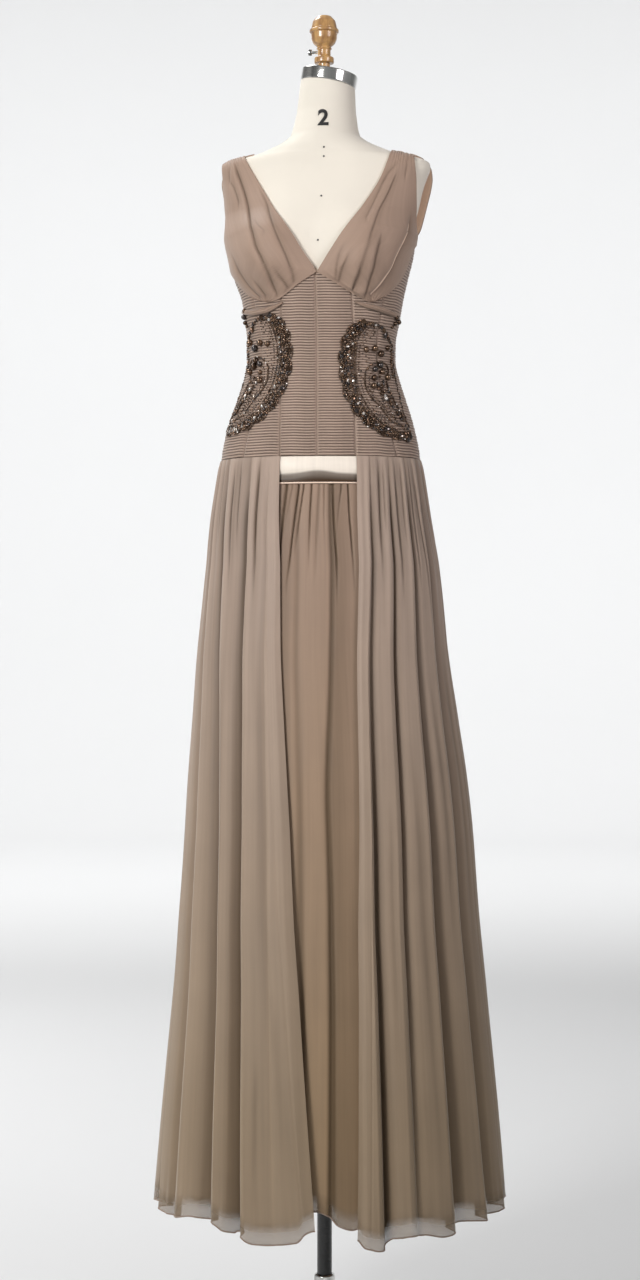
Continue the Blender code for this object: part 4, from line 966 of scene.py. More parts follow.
# ---- bodice
@dataclass
class Midriff:
    """Panels of horizontal pin tucks between upright seams.

    Each tuck is an arch of the height, sin(pi p) to a power under one, so that the valleys are
    narrow. The tucks run out a few millimetres before each seam, which is pressed in.
    """

    finishes: Finishes
    hip_seam: float = 1.3975
    pitch: float = 0.0042
    rise: float = 0.0016
    ease: float = 0.002
    bow: float = 0.0008
    wall: float = 0.0012
    columns: int = 22
    run_out: float = 0.0026
    half_gap: float = 0.00012
    arch_power: float = 0.62
    droop: float = 0.0009
    press: float = 0.0004
    press_width: float = 0.0016
    heights: tuple[float, ...] = (1.3975, 1.56, 1.66)
    centre_line: tuple[float, ...] = (0.0, -0.0025, -0.0035)
    seams: dict[str, tuple[float, ...]] = field(default_factory=lambda: {
        "centre": (0.0, 0.0, 0.0), "front": (0.0565, 0.0545, 0.052),
        "side_front": (0.114, 0.085, 0.1), "side_back": (0.11, 0.08, 0.095)})
    panels: dict[str, tuple[str, str, int]] = field(default_factory=lambda: {
        "centre_front": ("centre", "front", 66), "side_front": ("front", "side_front", 60),
        "side": ("side_front", "side_back", 80), "back": ("side_back", "centre_back", 60)})

    def seam(self, which: str, side: int, height: Array) -> Array:
        """Return a seam's turn at heights, by its distance from the centre seam."""
        if which == "centre_back":
            return np.full_like(height, side * np.pi)
        back = which == "side_back"
        middle = 0.0 if back else (on_curve(self.heights, self.centre_line, height)
                                   - FORM.size("shift", height))
        place = middle + side * on_curve(self.heights, self.seams[which], height)
        turn = np.arcsin(np.clip(place / FORM.size("half_width", height), -1.0, 1.0))
        return side * np.pi - turn if back else turn

    def panel(self, name: str, node: str, near: str, far: str, side: int, tucks: int,
              seed: int) -> None:
        """Build one panel between its near seam (nearer the centre front) and its far seam."""
        steps = np.array([0.0, 0.16, 0.38, 0.62, 0.84])
        phase = (np.arange(tucks)[:, None] + steps[None, :]).ravel()
        phase = np.append(phase, float(tucks))
        height = self.hip_seam + self.pitch * phase
        one, other = self.seam(near, side, height), self.seam(far, side, height)
        low, high = (one, other) if side > 0 else (other, one)
        radius = np.abs(FORM.point(np.zeros_like(height), height)[:, 1])
        low, high = low + self.half_gap / radius, high - self.half_gap / radius
        share = even(self.columns)
        share = 0.55 * ((1 - np.cos(np.pi * share)) / 2) + 0.45 * share
        turn = low[:, None] + (high - low)[:, None] * share[None, :]
        level = np.broadcast_to(height[:, None], turn.shape)
        walked = summed(gaps(FORM.point(turn, level), 1))
        to_seam = np.minimum(walked, walked[:, -1:] - walked)
        fade = smooth(0.0008, self.run_out, to_seam)
        arch = np.sin(np.pi * (phase % 1.0)) ** self.arch_power
        uneven = 0.95 + 0.22 * wander(turn * 5 + phase[:, None] * 2.3, seed, 4, 1)
        tuck = self.rise * arch[:, None] * fade * uneven
        droop = self.droop * wander(turn * 4, seed + 1, 4, 1) * fade
        pressed = self.press * (1 - smooth(0.0, self.press_width, to_seam))
        base = self.ease + self.bow * fade
        outer = FORM.out(turn, level + droop, base + self.wall + tuck - pressed)
        inner = FORM.out(turn, level, base)
        # painted shade: the fold mark darkens the tuck valleys; a darker line runs along each seam, and
        # a painted sheen band leaves a lighter stripe across each panel with shade on either side
        valley = (1 - arch)[:, None] * fade
        seams = 0.36 * (1 - smooth(0.0, 0.0022, to_seam))
        painted_sheen_band = 0.12 * (1 - bump(share, 0.34, 0.26))
        mark = np.clip(1.5 * valley + 0.06 + seams + painted_sheen_band, 0.0, 1.0)
        thing = hang(name, Wall(outer, inner, marks={"fold": mark}), node,
                     self.finishes.midriff, self.finishes.facing)

    def build(self) -> None:
        """Build the eight panels."""
        for side, half in ((-1, "left"), (1, "right")):
            for number, (panel, (near, far, tucks)) in enumerate(self.panels.items()):
                self.panel(f"tucked_{panel}_{half}", f"midriff_{panel}_{half}", near, far, side,
                           tucks, 7 + number * 3 + side)


@dataclass(frozen=True)
class Fold:
    """A fold of a cup, in millimetres: a crease along (x, z) points and its ridge's side."""

    ridge_side: int
    rise: float
    width: float
    path: tuple[tuple[float, float], ...]


@dataclass
class Cup:
    """Edges and folds of one cup, from the shoulder to the gathered point."""

    half: str
    edges: dict[str, Array]
    folds: tuple[Fold, ...]
    point_row: int = 5


CUP_LEFT = Cup("left", mm_table(
    "outer_x outer_z inner_x inner_z",
    (-156, 1861.8, -122.5, 1867.8), (-154.5, 1828.5, -92, 1815), (-152.5, 1797, -65.2, 1770),
    (-149.2, 1762, -41.2, 1733), (-147, 1735.5, -21.2, 1702.4), (-141.2, 1712, -0.4, 1675),
    (-136.5, 1690.7, -28.1, 1659), (-120.8, 1667.7, -48.6, 1643), (-106.1, 1650, -58, 1637.4),
    (-87.7, 1638.1, -71.5, 1633.9)), (
    Fold(-1, 3.1, 6.5, ((-133.8, 1854.6), (-120.7, 1819.7), (-110.9, 1793.3), (-102.1, 1763),
         (-91.6, 1732.4), (-84.2, 1709), (-76.1, 1691.9), (-69.7, 1677), (-59.8, 1646.4))),
    Fold(-1, 1.6, 6, ((-145.6, 1832.9), (-133.4, 1818.8), (-125.4, 1801.8), (-120.7, 1788.2))),
    Fold(-1, 0.8, 4.5, ((-96.2, 1761.3), (-86.2, 1743), (-76.2, 1731.5))),
    Fold(-1, 1.8, 7, ((-90.6, 1807.7), (-79.3, 1783.9), (-69.5, 1753.7), (-61.2, 1728.6),
         (-53.5, 1710.3), (-45.7, 1692.8), (-36.4, 1671.1), (-34.5, 1658.7))),
    Fold(-1, 2.2, 4, ((-66.1, 1688.5), (-57.8, 1675.8), (-49.3, 1664.7), (-42.4, 1651.9))),
    Fold(-1, 2.2, 4.5, ((-93.1, 1674.9), (-84.3, 1661.7), (-75.7, 1646.4))),
    Fold(-1, 1.8, 7.5, ((-127, 1712), (-114.2, 1686), (-101.4, 1666.8), (-84.4, 1645.5))),
    Fold(1, 1.2, 5, ((-140, 1854.6), (-139.5, 1843), (-138.5, 1830)))))
CUP_RIGHT = Cup("right", mm_table(
    "outer_x outer_z inner_x inner_z",
    (139.5, 1864.5, 108.5, 1871.5), (142.8, 1820.7, 90, 1820), (142.6, 1784.4, 68, 1779),
    (139.6, 1758.5, 51.5, 1751), (137.3, 1737.1, 33.8, 1722), (130, 1712, 0, 1675),
    (123, 1690, 28.4, 1658.2), (111.6, 1665.3, 51.6, 1643), (95.2, 1645.3, 63.2, 1636.6),
    (83, 1635.3, 71.4, 1632.4)), (
    Fold(-1, 1.5, 4.5, ((115.4, 1832.4), (101.5, 1795.8), (85.3, 1758.4), (76, 1726.4), (67.7, 1697.1),
         (58.4, 1670.2), (50.5, 1652.8))),
    Fold(1, 1.3, 5, ((120.6, 1852.9), (110.9, 1840.9), (101.2, 1827.3), (85.5, 1790.3), (78.2, 1771.1),
         (70.8, 1752))),
    Fold(-1, 2.4, 5.5, ((88.9, 1729), (80.5, 1697.9), (77.7, 1685.1), (72.9, 1671.1), (65.2, 1643))),
    Fold(-1, 3.8, 8, ((131.8, 1769), (126.3, 1752.4), (119.8, 1732.8), (112.4, 1714.1), (106.1, 1698.8),
         (100.5, 1684.7), (92.6, 1672.4), (83.6, 1658.7), (73.9, 1645.5))),
    Fold(-1, 1.4, 4, ((43.4, 1712.8), (37.4, 1701.3), (33, 1687.7), (26.3, 1663.4))),
    Fold(-1, 1.9, 3.5, ((51.3, 1702.2), (46, 1691.5), (38.4, 1679.6), (30.4, 1660.4))),
    Fold(-1, 2.2, 4.2, ((64.2, 1694.5), (61.1, 1681.7), (53.4, 1663.8), (48.6, 1648.1))),
    Fold(1, 1.2, 5, ((130, 1856), (129, 1842), (126.5, 1828)))))


@dataclass
class Bodice:
    """The gathered cups with their straps, the folds under them and the plain back."""

    finishes: Finishes
    rows: int = 112
    columns: int = 132
    strap_ease: float = 0.002
    over_panel: float = 0.0066
    rest_top: float = 1.775
    rest_fade: float = 0.035
    puff: float = 0.005
    wall: float = 0.0012
    crease_width: float = 0.0013
    fine_pleat: float = 0.0006
    upper_share: float = 0.62
    ripple: float = 0.0006
    under_pleat: float = 0.0005
    fold_rest: float = 0.0062
    fold_edge: float = 0.007
    fold_rise: float = 0.004
    shoulder: dict[int, float] = field(default_factory=lambda: {-1: 1.862, 1: 1.867})

    def folds(self, cup: Cup, side_x: Array, height: Array) -> tuple[Array, Array]:
        """Work out a cup's folds from the distance s to each crease.

        Args:
            cup: The cup.
            side_x: Side distance of each point.
            height: Height of each point.

        Returns:
            The relief, a ridge s exp(1 - s) beside a narrow trough, and the painted shade in it.
        """
        relief, shade = np.zeros_like(side_x), np.zeros_like(side_x)
        for fold in cup.folds:
            x, z = np.array(fold.path)[::-1].T / 1000
            rise = fold.rise / 1000
            level, step = np.clip(height, z[0], z[-1]), 0.002
            at = on_curve(z, x, level)
            slope = (on_curve(z, x, level + step) - at) / step
            away = (side_x - at) / np.sqrt(1 + slope**2) * fold.ridge_side
            life = window((z[0] - 0.014, z[0] + 0.006), (z[-1] - 0.022, z[-1] + 0.006), height)
            share = np.clip(away * 1000 / fold.width, 0.0, None)
            crease = bump(away, 0.0, self.crease_width)
            relief += life * rise * (share * np.exp(1 - share) - 0.45 * crease)
            # painted shade: darker on the steep flank beside each crease and in the crease itself
            painted_crease_shade = 0.2 * bump(away, -0.0022, 0.0034) + 0.52 * crease
            shade = np.maximum(shade, life * painted_crease_shade * min(1.0, rise / 0.002))
        return relief, shade

    def cup(self, cup: Cup) -> None:
        """Build a cup between its edges, which meet in a sharp point at the centre front."""
        places = even(len(cup.edges["outer_x"]))
        at = cup.point_row
        point = places[at]
        upper = int(self.rows * self.upper_share)
        down = np.concatenate([point * even(upper) ** 0.92,
                               np.linspace(point, 1, self.rows - upper + 1)[1:]])
        edge = {}
        for key, values in cup.edges.items():
            above = on_curve(places[:at + 1], values[:at + 1], down)
            edge[key] = np.where(down <= point, above, on_curve(places[at:], values[at:], down))
        start = FORM.front_turn(edge["outer_x"], edge["outer_z"])
        end = FORM.front_turn(edge["inner_x"], edge["inner_z"])
        share = even(self.columns)[None, :]
        down = down[:, None]
        turn = blend(start[:, None], end[:, None], share)
        height = blend(edge["outer_z"][:, None], edge["inner_z"][:, None], share)
        clear = np.clip((self.rest_top - height) / self.rest_fade, 0.0, 1.0)
        base = self.strap_ease + (self.over_panel - self.strap_ease) * clear
        base = base + self.puff * np.sin(np.pi * share) * np.sin(np.pi * down)
        relief, shade = self.folds(cup, FORM.point(turn, height)[..., 0], height)
        near_ends = bump(down, 1.0, 0.13) + 0.7 * bump(down, 0.0, 0.045)
        fine = self.fine_pleat * near_ends * np.sin(2 * np.pi * 9 * share + 3 * np.sin(9 * share))
        flat = smooth(0.0, 0.05, share) * (1 - smooth(0.93, 0.985, share) * smooth(0, 0.2, down))
        relief = (relief + fine) * flat + 0.0004 * wander(3 * turn + 9 * height, 4, 5, 1) * flat
        outer = FORM.out(turn, height, base + self.wall + relief)
        inner = FORM.out(turn, height, base)
        # the fold mark: painted shade in the folds, and the dark serged edge along the shoulder
        mark = np.clip(0.08 + shade * flat + 0.7 * bump(down, 0.0, 0.006), 0.0, 1.0)
        outer, inner, mark = outer[::-1], inner[::-1], mark[::-1]
        if start[0] > 0:
            outer, inner, mark = outer[:, ::-1], inner[:, ::-1], mark[:, ::-1]
        thing = hang(f"gathered_cup_{cup.half}", Wall(outer, inner, marks={"fold": mark}),
                     f"cup_{cup.half}", self.finishes.cups, self.finishes.facing)

    def back(self, side: int, half: str) -> None:
        """Build half of the plain back bodice, between its armhole and the centre back."""
        table_rows = table(
            "outer_height inner_height outer_turn inner_turn",
            (self.shoulder[side], 1.875, 90.3, 90.3), (1.859, 1.867, 107.0, 126.0),
            (1.848, 1.852, 105.0, 150.0), (1.83, 1.828, 101.0, 166.0),
            (1.808, 1.805, 99.5, 180.0), (1.778, 1.788, 98.5, 180.0),
            (1.758, 1.776, 100.0, 180.0), (1.747, 1.765, 109.0, 180.0),
            (1.7395, 1.756, 124.0, 180.0), (1.735, 1.748, 139.5, 180.0),
            (1.7, 1.7, 137.2, 180.0), (1.65, 1.65, 130.4, 180.0))
        known = even(len(table_rows["outer_turn"]))
        wanted = np.linspace(1.0, 0.0, 78)
        rows = {key: on_curve(known, values, wanted)[:, None] for key, values in table_rows.items()}
        share = even(44)[None, :]
        height = blend(rows["outer_height"], rows["inner_height"], share)
        inner_turn = np.minimum(rows["inner_turn"], 180.0 - math.degrees(0.00015 / 0.09))
        turn = side * np.radians(blend(rows["outer_turn"], inner_turn, share))
        soft = self.ripple * (1 + np.sin(11 * share + 5 * wanted[:, None]))
        soft = soft * window((0, 0.15), (0.9, 1.0), share)
        outer = BACK_SHELL.out(turn, height, self.wall + soft)
        inner = BACK_SHELL.out(turn, height, 0.0)
        # painted shade: darker in the hollows of the soft ripples
        mark = 0.2 - 0.09 * soft / self.ripple
        if side < 0:
            outer, inner, mark = outer[:, ::-1], inner[:, ::-1], mark[:, ::-1]
        thing = hang(f"back_half_{half}", Wall(outer, inner, marks={"fold": mark}),
                     f"back_bodice_{half}", self.finishes.cups, self.finishes.facing)

    def under_fold(self, half: str, path: dict[str, Array]) -> None:
        """Build the rolled fold under a cup: an arch across, with fine pleats along it."""
        known = even(len(path["side_x"]))
        along = even(70)[None, :]
        side_x = on_curve(known, path["side_x"], along)
        middle = on_curve(known, path["height"], along)
        half_width = on_curve(known, path["half_width"], along)
        across = np.linspace(-1.0, 1.0, 22)[:, None]
        height = middle + across * half_width
        turn = np.broadcast_to(FORM.front_turn(side_x, middle), height.shape)
        arch = (1 - across**2) ** 0.7
        ends = np.sin(np.pi * (0.06 + 0.88 * along)) ** 0.5
        pleats = self.under_pleat * np.sin(9 * across + 6 * along) * arch
        outer = FORM.out(turn, height, self.fold_edge + (self.fold_rise * arch + pleats) * ends)
        inner = FORM.out(turn, height, self.fold_rest)
        # painted shade: darker towards both edges of the roll, where it turns in against the body
        mark = np.broadcast_to(0.7 * (1 - arch) + 0.15, height.shape)
        if turn[0, -1] < turn[0, 0]:
            outer, inner, mark = outer[:, ::-1], inner[:, ::-1], mark[:, ::-1]
        thing = hang(f"laid_fold_{half}", Wall(outer, inner, marks={"fold": mark}),
                     f"empire_fold_{half}", self.finishes.cups)

    def build(self) -> None:
        """Build every piece of the bodice above the midriff."""
        self.cup(CUP_LEFT)
        self.cup(CUP_RIGHT)
        self.back(-1, "left")
        self.back(1, "right")
        self.under_fold("left", mm_table(
            "side_x height half_width",
            (-52, 1631, 1.5), (-65, 1625.5, 4), (-78.3, 1622.2, 5), (-95.5, 1621.5, 5),
            (-110, 1624.5, 4.5), (-119, 1628, 3)))
        self.under_fold("right", mm_table(
            "side_x height half_width",
            (53, 1631, 1.5), (65.4, 1627.2, 3.6), (78.5, 1625, 4.5), (91, 1622.5, 5), (101, 1619.8, 4.5),
            (109, 1617.5, 3)))


# ---- beads
class BeadShape(Enum):
    """Unit beads: the sides of a ring, the heights of both ends and a profile, upwards."""

    ROUND = (8, (-0.996, 0.996), ((0.55, -0.83), (0.95, -0.3), (0.95, 0.3), (0.55, 0.83)))
    STONE = (8, (-0.7, 0.62), ((0.55, -0.5), (1.0, 0.1), (0.82, 0.46), (0.5, 0.62)))
    SEED = (6, (-0.78, 0.78), ((0.75, -0.65), (0.98, 0.0), (0.75, 0.65)))

    def template(self) -> tuple[Array, Array]:
        """Return the unit bead's points and triangles."""
        sides, (low, high), profile = self.value
        points, faces = capped(spun(np.array(profile), sides), [[0, 0, low], [0, 0, high]])
        face, fans = np.array(faces[:-2 * sides]), faces[-2 * sides:]
        return points, np.concatenate([face[:, [0, 1, 2]], face[:, [0, 2, 3]], fans])


@dataclass
class BeadWork:
    """A paisley of beads on each side: scalloped border, inner drop, rays and large beads.

    A place on the paisley is along (0 at the head, 1 at the tip) and across (-1 at the edge
    that faces the centre front, 1 at the other edge).
    """

    finishes: Finishes
    rest: float = 0.0058
    lobes: int = 12
    lobe_depth: float = 0.005
    drop: dict[int, float] = field(default_factory=lambda: {-1: 0.0, 1: 0.011})
    line: dict[str, Array] = field(default_factory=lambda: mm_table(
        "round height half_width",
        (98, 1610.5, 0), (96.5, 1606, 20.5), (92, 1594, 38.5), (88, 1574, 46.5), (86.2, 1550, 48),
        (89, 1525, 47), (97.5, 1501, 44), (110, 1481, 38), (127, 1463, 27), (146, 1450, 14.5),
        (165, 1441, 5)))
    inner_line: dict[str, Array] = field(default_factory=lambda: mm_table(
        "round height",
        (144, 1456), (122.6, 1460), (99.8, 1483), (83, 1499), (74.5, 1517), (74.5, 1533), (85, 1547.5),
        (98.5, 1553), (112, 1551), (118, 1540), (113, 1523), (126.2, 1496), (146.1, 1470), (160, 1456)))

    def place(self, along: Array, across: Array | float, lobed: Array | float = 0.0) -> Array:
        """Return (round, height) in metres of places on the paisley."""
        known = even(len(self.line["round"]))
        fine = even(400)
        middle = np.stack([on_curve(known, self.line[key], fine) for key in ("round", "height")])
        slope = np.gradient(middle, axis=1)
        slope /= np.linalg.norm(slope, axis=0)
        read = [np.interp(along, fine, values) for values in (*middle, *slope)]
        width = across * on_curve(known, self.line["half_width"], along)
        width = width + np.sign(across) * self.lobe_depth * lobed
        return np.stack([read[0] - width * read[3], read[1] + width * read[2]], axis=-1)

    def along_path(self, path: Array, gap: float) -> Array:
        """Return evenly spaced places along a path, about a gap apart."""
        walked = summed(gaps(path))
        count = max(2, int(round(walked[-1] / gap)) + 1)
        wanted = np.linspace(0.0, walked[-1], count)
        return np.stack([np.interp(wanted, walked, path[:, axis]) for axis in (0, 1)], axis=-1)

    def rows_of_beads(self, random: np.random.Generator) -> list[tuple[Array, Array, BeadShape]]:
        """Return every group of beads, as places, radii and a shape."""
        groups: list[tuple[Array, Array, BeadShape]] = []
        along = np.linspace(0.012, 0.985, 700)
        lobed = np.abs(np.sin(np.pi * self.lobes * along)) ** 0.8

        def add(places: Array, radius: float, shape: BeadShape, uneven: float = 0.12) -> None:
            """Keep one group with slightly uneven radii."""
            radii = radius * (1 + uneven * random.standard_normal(len(places)).clip(-1.5, 1.5))
            groups.append((places, radii, shape))

        for level, lift, gap, radius, shape in (
                (-1.0, 1.0, 0.0029, 0.00165, BeadShape.SEED),
                (-0.92, 0.9, 0.0034, 0.0018, BeadShape.SEED),
                (-0.85, 0.7, 0.004, 0.002, BeadShape.ROUND),
                (-0.77, 0.4, 0.0034, 0.0017, BeadShape.SEED),
                (-0.68, 0.2, 0.004, 0.0018, BeadShape.SEED),
                (-0.59, 0.0, 0.003, 0.0015, BeadShape.SEED),
                (-0.47, 0.0, 0.0038, 0.00105, BeadShape.SEED)):
            path = self.place(along, level, lobed * lift)
            add(self.along_path(path, gap), radius, shape, 0.2)
        spread = random.uniform(0.02, 0.98, 240)
        add(self.place(spread, -random.uniform(0.64, 0.98, 240)), 0.0016, BeadShape.SEED, 0.3)
        outer_edge = self.place(along[:640], 0.98, 0.5 * lobed[:640])
        add(self.along_path(outer_edge, 0.003), 0.0015, BeadShape.SEED, 0.2)
        second = self.place(along[:360], 0.86)
        add(self.along_path(second, 0.0042), 0.0019, BeadShape.ROUND, 0.25)
        centres = (np.arange(self.lobes) + 0.5) / self.lobes
        add(self.place(centres, -0.95, 0.6), 0.0034, BeadShape.STONE, 0.15)
        for shift, level in ((0.026, -0.86), (-0.026, -0.82), (0.004, -0.72), (0.036, -0.7)):
            add(self.place(np.clip(centres + shift, 0.02, 0.98), level), 0.0023,
                BeadShape.STONE, 0.2)
        head = np.linspace(0.03, 0.16, 9)
        add(self.place(head, 0.85 - head * 2.0), 0.0026, BeadShape.STONE, 0.25)

        # the inner drop: a closed line of seeds with a dotted one inside it
        known = even(len(self.inner_line["round"]))
        fine = even(400)
        drop = np.stack([on_curve(known, self.inner_line[key], fine)
                         for key in ("round", "height")], axis=-1)
        add(self.along_path(drop, 0.0027), 0.00155, BeadShape.SEED)
        middle = np.array([0.108, 1.508])
        add(self.along_path(middle + (drop - middle) * 0.8, 0.0036), 0.0012, BeadShape.SEED)

        # rays between the border and the drop, and dotted rows in the tail
        for number, start in enumerate(np.linspace(0.1, 0.9, 25)):
            reach = np.linspace(-0.46, -0.2 + 0.12 * math.sin(number), 4)
            add(self.place(start + 0.012 * np.arange(4), reach), 0.0011, BeadShape.SEED, 0.2)
        tail = np.linspace(0.55, 0.9, 18)
        for level in (0.1, 0.28, 0.42):
            add(self.place(tail, level * (1.1 - tail)), 0.0012, BeadShape.SEED, 0.2)

        # large beads: a row in the head, a cluster in the drop and stones down its middle
        add(np.array([(0.0755, 1.571), (0.09, 1.574), (0.101, 1.5665), (0.1157, 1.577),
                      (0.0888, 1.5264), (0.09, 1.54), (0.1035, 1.5368), (0.1139, 1.5291),
                      (0.0995, 1.547), (0.0881, 1.5138)]), 0.0049, BeadShape.ROUND)
        share = even(13)
        sway = 0.0022 * np.cos(np.arange(13) * 2.4)
        add(np.stack([0.094 + 0.052 * share + sway, 1.518 - 0.054 * share**0.8], axis=-1),
            0.0026, BeadShape.STONE, 0.25)
        share = random.uniform(0.0, 1.0, 60)
        add(np.stack([0.092 + 0.05 * share + random.uniform(-0.007, 0.01, 60) * (1 - share),
                      1.522 - 0.058 * share + random.uniform(-0.006, 0.01, 60) * (1 - share)],
                     axis=-1), 0.0017, BeadShape.ROUND, 0.25)
        add(self.place(np.linspace(0.9, 0.985, 9), 0.5 * np.cos(np.arange(9) * 2.0)), 0.0026,
            BeadShape.STONE, 0.2)
        return groups

    def sprig(self, side: int) -> tuple[Array, Array]:
        """Return the places and radii of the few beads beside the head."""
        places = {-1: [(0.132, 1.628), (0.136, 1.619), (0.134, 1.61), (0.128, 1.604)],
                  1: [(0.136, 1.615), (0.143, 1.6095), (0.134, 1.606), (0.127, 1.6)]}[side]
        radii = [0.004, 0.0046, 0.0036, 0.0026]
        return np.array(places), np.array(radii)

    def build_side(self, side: int, half: str) -> None:
        """Build one side's beads as a single joined mesh with a tint for each bead."""
        random = np.random.default_rng(SEED + side)
        groups = [(places - [0.0, self.drop[side]], radii, shape)
                  for places, radii, shape in self.rows_of_beads(random)]
        groups.append((*self.sprig(side), BeadShape.ROUND))
        palette = np.array([(0.080, 0.046, 0.027), (0.155, 0.095, 0.058), (0.078, 0.066, 0.062),
                            (0.26, 0.155, 0.10), (0.88, 0.82, 0.76)])
        chance = {BeadShape.ROUND: (0.38, 0.28, 0.2, 0.12, 0.02),
                  BeadShape.STONE: (0.24, 0.22, 0.18, 0.12, 0.24),
                  BeadShape.SEED: (0.44, 0.32, 0.14, 0.08, 0.02)}
        points, faces, tints, flats, count = [], [], [], [], 0
        for places, radii, shape in groups:
            turn = side * FORM.round_to_turn(places[:, 0], places[:, 1])
            lift = self.rest + radii * 0.55
            centre = FORM.out(turn, places[:, 1], lift)
            normal = FORM.normal(turn, places[:, 1])
            tilt = direction(normal + 0.18 * random.standard_normal(normal.shape))
            across = direction(np.cross(tilt, [0.0, 0.0, 1.0]))
            up = np.cross(tilt, across)
            unit, unit_faces = shape.template()
            made = (unit[None, :, :1] * across[:, None] + unit[None, :, 1:2] * up[:, None]
                    + unit[None, :, 2:] * tilt[:, None]) * radii[:, None, None]
            made = made + centre[:, None, :]
            points.append(made.reshape(-1, 3))
            starts = count + len(unit) * np.arange(len(places))
            faces.append((unit_faces[None] + starts[:, None, None]).reshape(-1, 3))
            odds = chance[shape] if radii.mean() < 0.0034 else (0.5, 0.3, 0.2, 0.0, 0.0)
            picked = palette[random.choice(len(palette), len(places), p=odds)]
            tints.append(np.repeat(picked, len(unit), axis=0))
            flats.append(np.full(len(unit_faces) * len(places), shape is not BeadShape.STONE))
            count += len(unit) * len(places)
        name = f"bead_paisley_{half}"
        mesh = new_mesh(name, np.concatenate(points), np.concatenate(faces), sharp=180.0)
        mesh.polygons.foreach_set("use_smooth", np.concatenate(flats))
        colours = np.concatenate(tints)
        attribute = mesh.color_attributes.new("tint", "FLOAT_COLOR", "POINT")
        attribute.data.foreach_set("color", np.concatenate(
            [colours, np.ones((len(colours), 1))], axis=1).astype(np.float32).ravel())
        show(name, mesh, [self.finishes.beads], [f"bead_applique_{half}"])

    def build(self) -> None:
        """Build both sides."""
        self.build_side(-1, "left")
        self.build_side(1, "right")


